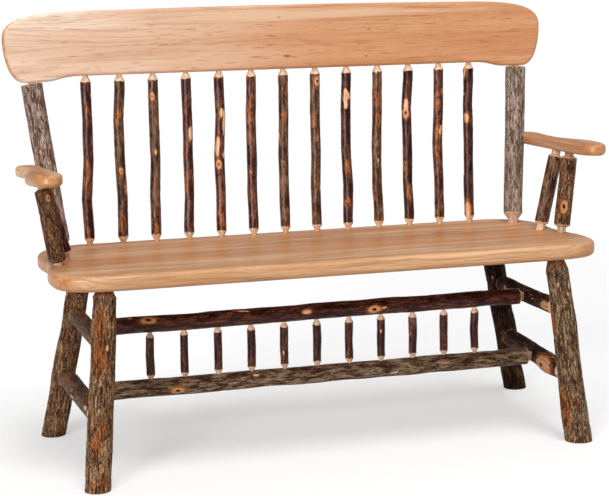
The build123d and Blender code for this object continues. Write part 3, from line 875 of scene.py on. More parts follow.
@dataclass
class BarkPole:
    """One bark-on pole with whittled tips, made over the pole of the frame."""

    node: str
    finish: BarkFinish
    relief: Relief
    seed: float
    knots: Sequence[Knot] = ()
    barked_cones: bool = False
    skirt: float = 0.0  # how far the foot's bark reaches down the tenon
    gauge: PoleGauge = field(init=False)
    foot: Tip = field(init=False)
    head: Tip = field(init=False)
    whole: tuple[float, float] = field(init=False)  # stretch that is fully barked in the frame

    BARK = 0.0006  # thickness that is missing on bare wood
    BELOW_FLOOR = 0.02
    INSIDE = 0.0001  # distance from an end face at which the pole is measured
    PAST_CONE = 0.001
    SAWN_END = 0.03  # length above the floor over which the girth is carried on from the slices
    SAWN_SLICES = (0.04, 0.14)
    CONE_RINGS = 5
    # Place of the pole's own patterns, as shares of its seed.
    BARK_FROM_SEED = (3.7, 1.3, 7.1)
    GRAIN_FROM_SEED = (1, 0.37, 0.71)
    # Spots that are strewn: places as shares of the length, widest angle from the back, sizes.
    STREWN_ALONG = (0.05, 0.95)
    STREWN_AROUND = 1.5
    STREWN_SIZE = (0.5, 1.1)
    # Furrows, grit and swellings: sizes of the noise across and along the pole, and heights.
    # What is finer is given by its strength and its count.
    FURROW_WIDTH = 0.16
    FINER_FURROWS = (0.45, 2.1)
    GRIT = (0.0026, 0.006)
    GRIT_HEIGHT = 0.00022
    SWELL = (0.05, 0.07)
    SWELL_SEED = 1.9
    PATCH_STRETCH = 3.2
    FINER_PATCHES = (0.4, 2.6)
    PATCH_EDGE = (0.0, 0.16)
    PATCH_START = 0.62
    # Knots: how far they reach in their own sizes, and their torn outline.
    KNOT_REACH = 2.5
    TORN = (0.005, 0.010)
    TORN_REACH = (0.45, 0.3)
    KNOT_BARE = (1.25, 0.65)
    KNOT_EYE = 0.8
    KNOT_RUST = (1.7, 0.9)
    # Ends of the bark, wander of the whole pole and facets of the cones.
    END_FADE = (-0.001, 0.006)
    END_FREE = (0.0, 0.05)
    FOOT_SPREAD = 0.002
    FOOT_FREE = (0.02, 0.10)
    RAGGED = 0.0022
    RAGGED_COUNT = 3.1
    RAGGED_BARE = (0.0026, 0.0006)
    SWAY_LENGTH = 0.11
    SWAY_SEED = 5.3
    SWAY_ROW = 0.7
    SWAY_ASIDE = Vector((0, 4.4, 0))
    FACETS = 9
    FACET_START = 1.7
    FACET_TURN = 90
    FACET_DEPTH = 0.00035
    FACET_FURROW = 0.3
    CONE_RUST = 0.45
    # Sawn foot, and sockets for other poles.
    CUT = 1e-7
    ON_CUT = 1e-5
    FOOT_EASE = 0.003
    GLUE = 0.0002
    SOCKET_BOTTOM = 0.001
    CUTTER_TOP = 0.05
    CUTTER_SIDES = 40
    NEAR_LINE = 0.03

    def measure(self, nodes: dict[str, bpy.types.Object]) -> None:
        """Read the pole's line and tips off the frame.

        Args:
            nodes: The frame's nodes by name.
        """
        self.gauge = PoleGauge(nodes[self.node])
        foot, head = self.gauge.tip(False), self.gauge.tip(True)
        self.whole = (foot.bark_from + self.PAST_CONE, self.gauge.length - head.bark_from - self.PAST_CONE)
        self.foot = foot.longer_bark(self.relief.cone_share, self.skirt)
        self.head = head.longer_bark(self.relief.cone_share, 0.0)
        self.knots = [*self.knots, *self.scatter()]

    def scatter(self) -> list[Knot]:
        """Strew a few more spots over the side of the pole away from the front.

        Returns:
            The spots, the same ones each time.
        """
        chance = random.Random(self.seed)
        spots = []
        for _ in range(round(self.gauge.length / self.relief.spot_spacing)):
            along = chance.uniform(*self.STREWN_ALONG) * self.gauge.length
            around = math.pi + chance.uniform(-self.STREWN_AROUND, self.STREWN_AROUND)
            size = chance.uniform(*self.STREWN_SIZE) * self.relief.bare_patch
            spots.append(chance.choice((rubbed, rubbed, stripped, eyed))(along, around, size))
        return spots

    @property
    def bark_end(self) -> float:
        """Place where the bark ends at the head."""
        return self.gauge.length - self.head.bark_from

    def from_seed(self, shares: Sequence[float]) -> Vector:
        """Place in a pattern that is this pole's own."""
        return Vector([self.seed * share for share in shares])

    def rings(self) -> list[Ring]:
        """Place every ring of the pole.

        Returns:
            The rings, from foot to head.
        """
        foot, head, steps = self.foot, self.head, self.CONE_RINGS
        low = -self.BELOW_FLOOR if foot.sawn else foot.bark_from
        long = self.bark_end - low
        count = max(4, round(long / self.relief.rings))
        rings = [Ring(low + long * i / count, 1, 0) for i in range(count + 1)]
        if not foot.sawn:
            span = foot.bark_from - foot.cone_from
            cone = [Ring(foot.cone_from + span * i / steps, 0, i / steps) for i in range(1, steps)]
            rings = [Ring(0.0, 0, 0), Ring(foot.cone_from, 0, 0), *cone, *rings]
        span = head.bark_from - head.cone_from
        rings += [Ring(self.bark_end + span * i / steps, 0, 1 - i / steps) for i in range(1, steps)]
        return [*rings, Ring(self.gauge.length - head.cone_from, 0, 0), Ring(self.gauge.length, 0, 0)]

    def girth(self, ring: Ring) -> Girth:
        """Wander and radius of the pole at a ring, also past its sawn foot.

        Args:
            ring: The ring.

        Returns:
            The girth there.
        """
        if ring.along < self.SAWN_END and self.foot.sawn:
            low, high = self.SAWN_SLICES
            near, far = self.gauge.slice(low).radius, self.gauge.slice(high).radius
            return Girth(0.0, 0.0, near + (far - near) * (ring.along - low) / (high - low))
        inside = min(max(ring.along, self.INSIDE), self.gauge.length - self.INSIDE)
        found = self.gauge.slice(inside)
        nearest = min(max(inside, self.whole[0]), self.whole[1])
        if nearest == inside or not (ring.barked or ring.coned):
            return found
        tenon = self.foot.tenon if inside < nearest else self.head.tenon
        full = self.gauge.slice(nearest).radius
        return found._replace(radius=full if ring.barked else tenon + ring.coned * (full - tenon))

    def bark(self, angle: float, along: float, radius: float, fade: float) -> tuple[float, Skin]:
        """Relief and patches of the bark at one place.

        Args:
            angle: Direction round the pole.
            along: Distance from the pole's start.
            radius: Radius of the pole there.
            fade: 0 at an end of the bark, 1 away from the ends.

        Returns:
            Offset of the surface, and its values for the shader.
        """
        relief = self.relief
        place = Vector((math.cos(angle) * radius, math.sin(angle) * radius, 0))
        seed = self.from_seed(self.BARK_FROM_SEED)
        flow = in_clouds(place, along, relief.furrow_pitch, relief.furrow_length) + seed
        share, finer = self.FINER_FURROWS
        web = noise.noise(flow) + share * noise.noise(flow * finer)
        furrow = math.exp(-((web / self.FURROW_WIDTH) ** 2))
        grit = noise.noise(in_clouds(place, along, *self.GRIT) + seed)
        swell = noise.noise(in_clouds(place, along, *self.SWELL) + seed * self.SWELL_SEED)
        clouds = in_clouds(place, along, relief.bare_patch, relief.bare_patch * self.PATCH_STRETCH) - seed
        share, finer = self.FINER_PATCHES
        patch = noise.noise(clouds) + share * noise.noise(clouds * finer)
        bare = soft_step(*self.PATCH_EDGE, patch - self.PATCH_START + relief.bare_share)
        eye, rust, lift = 0.0, 0.0, 0.0
        for knot in self.knots:
            turned = math.atan2(math.sin(angle - knot.around), math.cos(angle - knot.around))
            reach = math.hypot(turned * radius / knot.slim, along - knot.along) / knot.size
            if reach < self.KNOT_REACH:
                lift += knot.rise * math.exp(-(reach**2))
                torn = noise.noise(in_clouds(place, along, *self.TORN) + seed)
                ragged = reach + (self.TORN_REACH[0] - self.TORN_REACH[1] * knot.rust) * torn
                bare = max(bare, knot.bare * soft_step(*self.KNOT_BARE, ragged))
                eye = max(eye, knot.eye * min(1.0, max(0.0, 1.0 - ragged / self.KNOT_EYE)))
                rust = max(rust, knot.rust * soft_step(*self.KNOT_RUST, ragged))
        depth = -relief.furrow_depth * furrow * (1 - bare) - self.BARK * bare
        offset = fade * (depth + relief.swell * swell + self.GRIT_HEIGHT * grit) + lift * fade
        return offset, Skin(furrow * (1 - bare) * fade, bare, eye, rust)

    def barked(self, ring: Ring, line: Girth, angle: float) -> tuple[Girth, Skin]:
        """Surface of the pole at one place on its bark.

        Args:
            ring: Ring that the place lies on.
            line: Girth of the pole there.
            angle: Direction round the pole.

        Returns:
            The girth at that place, and its values for the shader.
        """
        ends = self.bark_end - ring.along
        if not self.foot.sawn:
            ends = min(ring.along - self.foot.bark_from, ends)
        offset, skin = self.bark(angle, ring.along, line.radius, soft_step(*self.END_FADE, ends))
        if self.foot.sawn:
            offset = min(offset, self.FOOT_SPREAD * soft_step(*self.FOOT_FREE, ring.along))
        if not self.barked_cones:
            edge = noise.noise(Vector((math.cos(angle), math.sin(angle), self.seed)) * self.RAGGED_COUNT)
            skin = skin._replace(bare=max(skin.bare, soft_step(*self.RAGGED_BARE, ends - self.RAGGED * edge)))
        sway = Vector((ring.along / self.SWAY_LENGTH, self.seed * self.SWAY_SEED, self.SWAY_ROW))
        wander = self.relief.wander * soft_step(*self.END_FREE, ends)
        toward = line.toward + wander * noise.noise(sway)
        aside = line.aside + wander * noise.noise(sway + self.SWAY_ASIDE)
        return Girth(toward, aside, line.radius + offset), skin

    def whittled(self, ring: Ring, line: Girth, angle: float) -> tuple[Girth, Skin]:
        """Surface of the pole at one place on a cone, with the facets of the knife.

        Args:
            ring: Ring that the place lies on.
            line: Girth of the pole there.
            angle: Direction round the pole.

        Returns:
            The girth at that place, and its values for the shader.
        """
        turn = angle * self.FACETS + self.FACET_START * math.sin(self.seed) + ring.along * self.FACET_TURN
        facets = 0.5 + 0.5 * math.cos(turn)
        # On a barked cone the knife facets also feed the furrow value, which the shader darkens as painted shade.
        skin = Skin(self.FACET_FURROW * facets, 0.0, 0.0, self.CONE_RUST) if self.barked_cones else WHITTLED
        return line._replace(radius=line.radius - self.FACET_DEPTH * facets), skin

    def build(self) -> bpy.types.Object:
        """Make the pole's mesh.

        Returns:
            The pole, in place.
        """
        gauge, rings = self.gauge, self.rings()
        pole = bmesh.new()
        bmesh.ops.create_cone(pole, cap_ends=True, segments=self.relief.sides, radius1=1, radius2=1, depth=1)
        upright = [e for e in pole.edges if abs(e.verts[0].co.z - e.verts[1].co.z) > 0.5]
        bmesh.ops.subdivide_edges(pole, edges=upright, cuts=len(rings) - 2, use_grid_fill=True)
        grain = pole.verts.layers.float_vector.new("grain")
        layers = [pole.verts.layers.float.new(name) for name in Skin._fields]
        lines = [self.girth(ring) for ring in rings]
        for vert in pole.verts:
            number = round((vert.co.z + 0.5) * (len(rings) - 1))
            ring, line, skin = rings[number], lines[number], WHITTLED
            angle = math.atan2(vert.co.y, vert.co.x)
            if ring.barked:
                line, skin = self.barked(ring, line, angle)
            elif ring.coned:
                line, skin = self.whittled(ring, line, angle)
            own = (math.cos(angle) * line.radius, math.sin(angle) * line.radius, ring.along)
            vert[grain] = Vector(own) + self.from_seed(self.GRAIN_FROM_SEED)
            for layer, value in zip(layers, skin):
                vert[layer] = value
            middle = gauge.start + gauge.axis * ring.along
            vert.co = middle + gauge.out(angle) * line.radius + gauge.facing * line.toward + gauge.aside * line.aside
        if self.foot.sawn:
            self.saw_foot(pole)
        bmesh.ops.recalc_face_normals(pole, faces=pole.faces)
        return put_in_scene(pole, f"{self.node}_bark")

    def saw_foot(self, pole: bmesh.types.BMesh) -> None:
        """Saw the pole off level with the floor and ease the sawn edge.

        Args:
            pole: The pole's mesh, which reaches below the floor.
        """
        every = pole.verts[:] + pole.edges[:] + pole.faces[:]
        bmesh.ops.bisect_plane(
            pole, geom=every, plane_co=(0, 0, 0), plane_no=(0, 0, 1), clear_inner=True, dist=self.CUT
        )
        rim = [e for e in pole.edges if e.is_boundary]
        bmesh.ops.contextual_create(pole, geom=rim)
        bmesh.ops.bevel(
            pole, geom=rim, offset=self.FOOT_EASE, segments=3, profile=0.5, affect="EDGES", material=-1,
            clamp_overlap=True,
        )
        bare = pole.verts.layers.float["bare"]
        for vert in pole.verts:
            if vert.co.z < self.ON_CUT:
                vert[bare] = 1.0

    def mortise(self, made: bpy.types.Object, guests: Sequence["BarkPole"]) -> None:
        """Bore the sockets for the poles that enter this one.

        Args:
            made: The finished pole.
            guests: Poles that may enter it.
        """
        cutters = bmesh.new()
        low, high = -self.SOCKET_BOTTOM, self.CUTTER_TOP
        for guest in guests:
            line = guest.gauge
            for tip, end, out in (
                (guest.foot, line.start, line.axis),
                (guest.head, line.start + line.axis * line.length, -line.axis),
            ):
                if tip.sawn or not self.holds(end):
                    continue
                place = Matrix.Translation(end + out * (low + high) / 2)
                turn = out.to_track_quat("Z", "Y").to_matrix().to_4x4()
                radius = tip.tenon + self.GLUE
                bmesh.ops.create_cone(
                    cutters, cap_ends=True, segments=self.CUTTER_SIDES, radius1=radius, radius2=radius,
                    depth=high - low, matrix=place @ turn,
                )
        cutter = put_in_scene(cutters, "socket_cutter")
        bore = made.modifiers.new("sockets", "BOOLEAN")
        bore.object = cutter
        bore.operation = "DIFFERENCE"
        bore.solver = "EXACT"
        shape = bpy.data.meshes.new_from_object(made.evaluated_get(bpy.context.evaluated_depsgraph_get()))
        made.modifiers.clear()
        made.data = shape
        bpy.data.objects.remove(cutter)

    def holds(self, place: Vector) -> bool:
        """Whether a point lies inside this pole.

        Args:
            place: The point.

        Returns:
            True where it does.
        """
        off = place - self.gauge.start
        along = off.dot(self.gauge.axis)
        return 0 < along < self.gauge.length and (off - self.gauge.axis * along).length < self.NEAR_LINE


def put_in_scene(shape: bmesh.types.BMesh, name: str, sharp: float = 40.0) -> bpy.types.Object:
    """Turn a finished mesh into an object, smooth but for its sharp edges.

    Args:
        shape: The mesh, which is used up.
        name: Name of the piece.
        sharp: Angle in degrees from which an edge stays sharp.

    Returns:
        The new object.
    """
    for face in shape.faces:
        face.smooth = True
    for edge in shape.edges:
        edge.smooth = not (edge.is_manifold and edge.calc_face_angle(0.0) > math.radians(sharp))
    mesh = bpy.data.meshes.new(name)
    shape.to_mesh(mesh)
    shape.free()
    made = bpy.data.objects.new(name, mesh)
    bpy.context.scene.collection.objects.link(made)
    return made


@dataclass
class Poles:
    """A group of bark-on poles."""

    nodes: dict[str, bpy.types.Object]
    shelf: FinishShelf

    def poles(self) -> Iterator[BarkPole]:
        """List the poles of this group."""
        yield from ()

    def build(self, measured: dict[str, BarkPole]) -> None:
        """Build and dress every pole of the group.

        Args:
            measured: Poles measured so far, by node, which this call adds to.
        """
        group = list(self.poles())
        for pole in group:
            pole.measure(self.nodes)
            measured[pole.node] = pole
        for pole in group:
            made = pole.build()
            made.data.materials.append(self.shelf.take(pole.finish))
            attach(made, "root")
            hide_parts(pole.node)
            LOG.info("%s: %d faces", made.name, len(made.data.polygons))


LEG_RELIEF = Relief(0.0018, 0.0068, 0.050, wander=0.0025, swell=0.0024, bare_share=-0.1, rings=0.0024, sides=104)
POST_RELIEF = Relief(0.0012, 0.0055, 0.060, wander=0.0022, swell=0.0009, bare_share=-0.1, rings=0.0026, sides=96)
ARM_POST_RELIEF = Relief(0.0012, 0.0060, 0.040, wander=0.0010, swell=0.0008, bare_share=-0.05, rings=0.0024, sides=80)
SIDE_RELIEF = Relief(0.0012, 0.0062, 0.045, wander=0.0016, swell=0.0009, bare_share=-0.05, rings=0.0026, sides=80)
LONG_RELIEF = Relief(0.0008, 0.0070, 0.060, wander=0.0022, swell=0.0012, bare_share=-0.03, rings=0.0026, sides=80)
SPINDLE_RELIEF = Relief(0.0004, 0.0055, 0.045, wander=0.0008, swell=0.0010, bare_share=0.0, rings=0.0022, sides=52)
LOWER_RELIEF = Relief(
    0.0003, 0.0055, 0.040, wander=0.0020, swell=0.0010, bare_share=0.0, bare_patch=0.010, rings=0.0020, sides=44,
    cone_share=0.6,
)


@dataclass
class Legs(Poles):
    """The four splayed legs."""

    def poles(self) -> Iterator[BarkPole]:
        """List the legs."""
        yield BarkPole(
            "leg_front_left", FURROWED_BARK, LEG_RELIEF, 1.3,
            [rubbed(0.282, -1.43, 0.024, 0.3), rubbed(0.075, -1.20, 0.036, 0.35), rubbed(0.09, -0.3, 0.012)],
            barked_cones=True,
        )
        yield BarkPole(
            "leg_front_right", BROWN_BARK, LEG_RELIEF, 2.9,
            [
                rubbed(0.354, -0.55, 0.030, 0.35), rubbed(0.285, -0.56, 0.034, 0.35), stripped(0.305, 0.13, 0.008),
                rubbed(0.126, 0.09, 0.016), rubbed(0.096, -0.45, 0.020), rubbed(0.020, 0.20, 0.014),
            ],
            barked_cones=True,
        )
        yield BarkPole("leg_back_left", SOOTY_BARK, LEG_RELIEF, 4.1, barked_cones=True)
        yield BarkPole("leg_back_right", BROWN_BARK, LEG_RELIEF, 5.7, barked_cones=True)


@dataclass
class Stretchers(Poles):
    """The side stretchers and the two long stretchers."""

    def poles(self) -> Iterator[BarkPole]:
        """List the stretchers."""
        yield BarkPole("side_stretcher_upper_left", SOOTY_BARK, SIDE_RELIEF, 6.2, [scar(0.048, 0.04, 0.022, 0.5)])
        yield BarkPole(
            "side_stretcher_lower_left", SOOTY_BARK, SIDE_RELIEF, 7.4,
            [scar(0.106, -0.10, 0.050, 0.48, 0.0080), eyed(0.107, 0.02, 0.020, 0.6, 0.0)],
        )
        yield BarkPole("side_stretcher_upper_right", RUSSET_BARK, SIDE_RELIEF, 8.8)
        yield BarkPole(
            "side_stretcher_lower_right", RUSSET_BARK, SIDE_RELIEF, 9.5,
            [rubbed(0.314, 0.93, 0.022, 0.5), stripped(0.057, 0.37, 0.016)],
        )
        yield BarkPole(
            "long_stretcher_upper", DARK_BARK, LONG_RELIEF, 10.3,
            [eyed(0.132, -0.70, 0.019, 0.5), scar(0.508, -0.23, 0.011, 0.5), eyed(0.675, 0.14, 0.016, 0.6)],
        )
        yield BarkPole("long_stretcher_lower", MOTTLED_BARK, LONG_RELIEF, 11.6, [eyed(0.214, 0.33, 0.017)])


@dataclass
class LowerSpindles(Poles):
    """The row of short spindles between the long stretchers."""

    count: int = 11
    maroon_every: int = 4
    first_seed: float = 20.0
    seed_step: float = 1.7

    def poles(self) -> Iterator[BarkPole]:
        """List the lower spindles."""
        for number in range(1, self.count + 1):
            finish = MAROON_BARK if number % self.maroon_every == 1 else DARK_BARK
            seed = self.first_seed + self.seed_step * number
            yield BarkPole(f"lower_spindle_{number:02d}", finish, LOWER_RELIEF, seed)


@dataclass
class BackPoles(Poles):
    """The two back posts and the spindles between them, numbered from the sitter's right."""

    first_seed: float = 40.0
    seed_step: float = 1.9

    SPINDLES = (
        (MAROON_BARK, (
            rubbed(0.188, -0.50, 0.026, 0.30), rubbed(0.048, -0.96, 0.018), rubbed(0.345, -0.17, 0.010),
        )),
        (UMBER_BARK, (rubbed(0.320, -0.32, 0.014), eyed(0.192, -0.13, 0.009), rubbed(0.070, -0.39, 0.018))),
        (UMBER_BARK, (eyed(0.365, -0.43, 0.010), stripped(0.234, -0.11, 0.008), rubbed(0.048, -0.30, 0.014))),
        (MAROON_BARK, (stripped(0.273, 0.35, 0.018, 0.30), rubbed(0.154, -0.76, 0.022, 0.25))),
        (MAROON_BARK, (
            stripped(0.297, 0.72, 0.030, 0.22), stripped(0.240, -0.69, 0.024, 0.26),
            eyed(0.197, -0.42, 0.012), rubbed(0.060, -0.17, 0.014),
        )),
        (MAROON_BARK, (rubbed(0.318, -0.76, 0.024, 0.30), stripped(0.174, -0.50, 0.004))),
        (UMBER_BARK, (
            rubbed(0.301, -0.28, 0.013), rubbed(0.366, 0.37, 0.011), stripped(0.195, -0.24, 0.003),
        )),
        (UMBER_BARK, (eyed(0.387, 0.14, 0.012), rubbed(0.293, -1.01, 0.015), rubbed(0.138, -0.20, 0.011))),
        (DARK_BARK, (rubbed(0.346, -0.40, 0.008, 1.2), rubbed(0.173, -0.21, 0.016), rubbed(0.088, -0.45, 0.009, 1.0))),
        (UMBER_BARK, (rubbed(0.336, -0.63, 0.018), rubbed(0.289, -0.16, 0.013))),
        (DARK_BARK, (
            eyed(0.300, -0.49, 0.013, 0.6), stripped(0.318, -0.42, 0.018), rubbed(0.161, -1.0, 0.016),
            rubbed(0.103, 0.0, 0.016),
        )),
        (MAROON_BARK, (
            rubbed(0.326, -0.75, 0.020), rubbed(0.246, -0.28, 0.016), rubbed(0.202, -0.48, 0.012),
            rubbed(0.050, -1.01, 0.013),
        )),
        (DARK_BARK, (scar(0.282, -0.70, 0.013, 0.5, 0.001), scar(0.052, -0.70, 0.020, 0.4, 0.001))),
    )

    def poles(self) -> Iterator[BarkPole]:
        """List the poles of the back."""
        yield BarkPole("back_post_left", OLIVE_BARK, POST_RELIEF, 12.4)
        yield BarkPole("back_post_right", GREY_BARK, POST_RELIEF, 13.9)
        for number, (finish, knots) in enumerate(self.SPINDLES, 1):
            seed = self.first_seed + self.seed_step * number
            yield BarkPole(f"back_spindle_{number:02d}", finish, SPINDLE_RELIEF, seed, knots)


@dataclass
class ArmPosts(Poles):
    """The two posts under each arm."""

    def poles(self) -> Iterator[BarkPole]:
        """List the arm posts."""
        yield BarkPole("arm_post_front_left", BROWN_BARK, ARM_POST_RELIEF, 14.2, [eyed(0.076, -0.44, 0.017, 0.6)])
        yield BarkPole("arm_post_rear_left", UMBER_BARK, ARM_POST_RELIEF, 15.6)
        yield BarkPole(
            "arm_post_front_right", RUSSET_BARK, ARM_POST_RELIEF, 16.8, [eyed(0.166, 0.24, 0.009)],
            barked_cones=True, skirt=0.007,
        )
        yield BarkPole("arm_post_rear_right", MAROON_BARK, ARM_POST_RELIEF, 17.1)


# ---------------------------------------------------------------- planks


@dataclass
class Planks:
    """A group of planed boards, made over the boards of the frame."""

    nodes: dict[str, bpy.types.Object]
    shelf: FinishShelf
    sharp: float = 50.0
    end_grain: tuple[float, float] = (0.15, 0.75)  # how square to the grain a face is, where it starts and is full

    def plane(self, node: str, finish: PlanedFinish, pith: Vector, along: Vector, up: Vector) -> None:
        """Make one board smooth, lay its grain and dress it.

        Args:
            node: Node of the board.
            finish: Finish of the board.
            pith: Point on the middle of the tree that the board was sawn from.
            along: Direction of the grain.
            up: Direction square to the board's face.
        """
        board = bmesh.new()
        board.from_mesh(self.nodes[node].data)
        bmesh.ops.remove_doubles(board, verts=board.verts, dist=MERGE)
        grain = board.verts.layers.float_vector.new("grain")
        end = board.verts.layers.float.new("end")
        board.normal_update()
        long = along.normalized()
        high = (up - long * up.dot(long)).normalized()
        wide = high.cross(long)
        for vert in board.verts:
            off = vert.co - pith
            vert[grain] = Vector((off.dot(wide), off.dot(high), off.dot(long)))
            vert[end] = soft_step(*self.end_grain, abs(vert.normal.dot(long)))
        made = put_in_scene(board, f"{node}_planed", self.sharp)
        weigh = made.modifiers.new("flat_faces_lead", "WEIGHTED_NORMAL")
        weigh.keep_sharp = True
        made.data.materials.append(self.shelf.take(finish))
        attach(made, "root")
        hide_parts(node)
        LOG.info("%s: %d faces", made.name, len(made.data.polygons))


@dataclass
class Seat(Planks):
    """The seat plank, glued up from boards."""

    boards: int = 5
    # Pith under a board: its steps along the tree, a wander aside, its depth, and the lean of the grain.
    first: float = 4.0
    step: float = 1.7
    wander: float = 0.03
    depth: float = 0.045
    deeper: float = 0.02
    lean: tuple[float, float] = (0.004, 0.006)
    turns: Place = (2.3, 1.9, 3.1)  # how fast wander, depth and lean change from board to board

    def build(self) -> None:
        """Build and dress the boards, each from another part of the tree."""
        for number in range(1, self.boards + 1):
            low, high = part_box(f"seat_board_{number}")
            turns = [number * turn for turn in self.turns]
            aside, deep, steep = math.sin(turns[0]), math.cos(turns[1]), math.cos(turns[2])
            off = Vector((number * self.step - self.first, self.wander * aside, -self.depth - self.deeper * deep))
            along = Vector((1, self.lean[0] * aside, self.lean[1] * steep))
            self.plane(f"seat_board_{number}", SEAT_WOOD, (low + high) / 2 + off, along, Vector((0, 0, 1)))


@dataclass
class Crest(Planks):
    """The arched crest rail."""

    pith: Place = (0.4, 0.075, -0.03)  # from the middle of the rail
    along: Place = (1, 0.01, 0.006)
    face: Place = (0, -1, 0.05)

    def build(self) -> None:
        """Build and dress the crest rail."""
        low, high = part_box("crest_rail")
        pith = (low + high) / 2 + Vector(self.pith)
        self.plane("crest_rail", CREST_WOOD, pith, Vector(self.along), Vector(self.face))


@dataclass
class Arms(Planks):
    """The two paddle arms."""

    pith: Place = (0.012, 0.6, -0.05)  # from the middle of the left arm
    step: float = 1.0  # how much further along the tree the right arm lies
    along: Place = (0.02, 1, 0.02)

    def build(self) -> None:
        """Build and dress the arms."""
        for number, side in enumerate(Side):
            low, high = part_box(f"arm_{side.value}")
            pith = (low + high) / 2 + Vector((self.pith[0], self.pith[1] + self.step * number, self.pith[2]))
            self.plane(f"arm_{side.value}", ARM_WOOD, pith, Vector(self.along), Vector((0, 0, 1)))


# ---------------------------------------------------------------- studio


class Lamp(NamedTuple):
    """Soft lamp, as far off as the sun: the side it shines from, its spread in degrees and its strength."""

    name: str
    from_side: Place
    spread: float
    strength: float


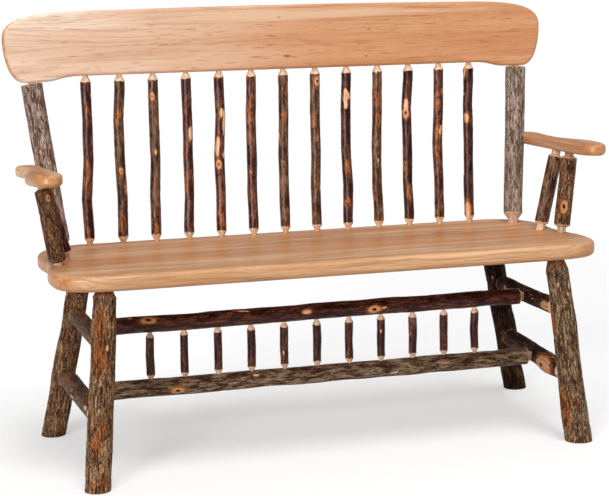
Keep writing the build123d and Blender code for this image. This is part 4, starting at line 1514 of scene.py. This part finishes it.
@dataclass
class Studio:
    """Plain pale floor, soft light and the camera."""

    camera_place: Vector = field(default_factory=lambda: Vector((-1.2767, -4.0078, 1.1351)))
    yaw: float = 17.311
    pitch: float = 9.263
    roll: float = -0.869
    focal: float = 1824.9  # focal length and centre are in pixels of the render
    centre: tuple[float, float] = (303.105, 248.269)
    image: tuple[int, int] = (609, 496)
    sensor_width: float = 36.0
    farthest: float = 200.0
    floor_reach: float = 60.0
    white: Colour = (0.56, 0.56, 0.56)
    cast: Colour = (0.58, 0.58, 0.58)  # what the floor throws back at the bench
    glow: float = 0.45
    card_place: Vector = field(default_factory=lambda: Vector((-2.3, -2.2, 0.52)))
    card_size: tuple[float, float] = (1.7, 1.0)
    card_glow: float = 14.0
    sky_glow: float = 0.36
    lamps: tuple[Lamp, ...] = (
        Lamp("key_lamp", (-0.62, -0.78, 0.34), 18.0, 1.8),
        Lamp("top_lamp", (0.1, -0.62, 1.9), 24.0, 1.6),
    )

    def build(self) -> None:
        """Set up the floor, the lights, the world and the camera."""
        self.lay_floor()
        self.hang_lamps()
        self.stand_card()
        self.light_world()
        self.stand_camera()
        bpy.context.scene.view_settings.view_transform = "Standard"

    def lay_floor(self) -> None:
        """Lay the floor, which glows a little where it's seen but not where it lights the bench."""
        shape = bmesh.new()
        bmesh.ops.create_grid(shape, x_segments=1, y_segments=1, size=self.floor_reach)
        floor = put_in_scene(shape, "studio_floor")
        recipe = Recipe("studio_floor")
        rays = recipe.node("ShaderNodeLightPath", {}).outputs
        seen = recipe.sum(rays["Is Camera Ray"], rays["Is Glossy Ray"], Work.LARGER)
        seen = recipe.sum(seen, rays["Is Transmission Ray"], Work.LARGER)
        paint = recipe.node("ShaderNodeBsdfDiffuse", {"Color": recipe.blend(seen, self.cast, self.white)})
        glow = recipe.node("ShaderNodeEmission", {"Strength": recipe.sum(seen, self.glow, Work.TIMES)})
        both = recipe.node("ShaderNodeAddShader", {0: paint.outputs["BSDF"], 1: glow.outputs["Emission"]})
        recipe.node("ShaderNodeOutputMaterial", {"Surface": both.outputs["Shader"]})
        floor.data.materials.append(recipe.material)

    def hang_lamps(self) -> None:
        """Hang the lamps, far enough off that the whole floor is lit alike."""
        for lamp in self.lamps:
            light = bpy.data.lights.new(lamp.name, "SUN")
            light.angle = math.radians(lamp.spread)
            light.energy = lamp.strength
            hung = bpy.data.objects.new(lamp.name, light)
            bpy.context.scene.collection.objects.link(hung)
            hung.location = lamp.from_side
            hung.rotation_euler = (-Vector(lamp.from_side)).to_track_quat("-Z", "Y").to_euler()

    def stand_card(self) -> None:
        """Stand a wide bright card at the side, which only shows as a gleam on varnish and smooth bark."""
        shape = bmesh.new()
        bmesh.ops.create_grid(shape, x_segments=1, y_segments=1, size=0.5)
        bmesh.ops.scale(shape, vec=(*self.card_size, 1), verts=shape.verts)
        facing = Vector((-self.card_place.x, -self.card_place.y, 0)).to_track_quat("Z", "Y").to_matrix()
        place = Matrix.Translation(self.card_place) @ facing.to_4x4()
        bmesh.ops.transform(shape, matrix=place, verts=shape.verts)
        card = put_in_scene(shape, "gleam_card")
        recipe = Recipe("gleam_card")
        light = recipe.node("ShaderNodeEmission", {"Strength": self.card_glow})
        recipe.node("ShaderNodeOutputMaterial", {"Surface": light.outputs["Emission"]})
        card.data.materials.append(recipe.material)
        card.visible_camera = False
        card.visible_diffuse = False
        card.visible_transmission = False
        card.visible_shadow = False

    def light_world(self) -> None:
        """Fill the room with even light."""
        world = bpy.data.worlds.new("studio_world")
        world.use_nodes = True
        sky = world.node_tree.nodes["Background"]
        sky.inputs["Color"].default_value = (1, 1, 1, 1)
        sky.inputs["Strength"].default_value = self.sky_glow
        bpy.context.scene.world = world

    def stand_camera(self) -> None:
        """Stand the camera and make it the scene's own."""
        yaw, pitch, roll = (math.radians(a) for a in (self.yaw, self.pitch, self.roll))
        ahead = Vector((math.sin(yaw), math.cos(yaw), 0))
        level = Vector((math.cos(yaw), -math.sin(yaw), 0))
        view = ahead * math.cos(pitch) - Vector((0, 0, math.sin(pitch)))
        above = Vector((0, 0, math.cos(pitch))) + ahead * math.sin(pitch)
        right = level * math.cos(roll) + above * math.sin(roll)
        up = above * math.cos(roll) - level * math.sin(roll)
        lens = bpy.data.cameras.new("camera")
        lens.sensor_fit = "HORIZONTAL"
        lens.sensor_width = self.sensor_width
        lens.lens = self.focal / self.image[0] * lens.sensor_width
        lens.shift_x = (self.image[0] / 2 - self.centre[0]) / self.image[0]
        lens.shift_y = (self.centre[1] - self.image[1] / 2) / self.image[0]
        lens.clip_end = self.farthest
        camera = bpy.data.objects.new("camera", lens)
        bpy.context.scene.collection.objects.link(camera)
        turn = Matrix((right, up, -view)).transposed().to_4x4()
        camera.matrix_world = Matrix.Translation(self.camera_place) @ turn
        bpy.context.scene.camera = camera


# ---------------------------------------------------------------- assembly


def bore_sockets(measured: dict[str, BarkPole]) -> None:
    """Bore the sockets of every pole that others enter.

    Args:
        measured: All measured poles by node.
    """
    enters = {"leg": "side_stretcher", "side_stretcher": "long_stretcher", "long_stretcher": "lower_spindle"}
    for name, pole in measured.items():
        for holder, guest in enters.items():
            if name.startswith(holder):
                made = bpy.data.objects[f"{name}_bark"]
                pole.mortise(made, [other for key, other in measured.items() if key.startswith(guest)])
                LOG.info("%s: sockets bored, %d faces", name, len(made.data.polygons))


def main() -> None:
    """Build the bench's looks over its frame."""
    logging.basicConfig(level=logging.INFO, format="%(message)s")
    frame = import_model()
    nodes = frame["nodes"]
    shelf = FinishShelf()
    measured: dict[str, BarkPole] = {}
    for group in (Legs, Stretchers, LowerSpindles, BackPoles, ArmPosts):
        group(nodes, shelf).build(measured)
    bore_sockets(measured)
    for group in (Seat, Crest, Arms):
        group(nodes, shelf).build()
    Studio().build()
    bpy.context.view_layer.update()


if __name__ == "__main__":
    main()
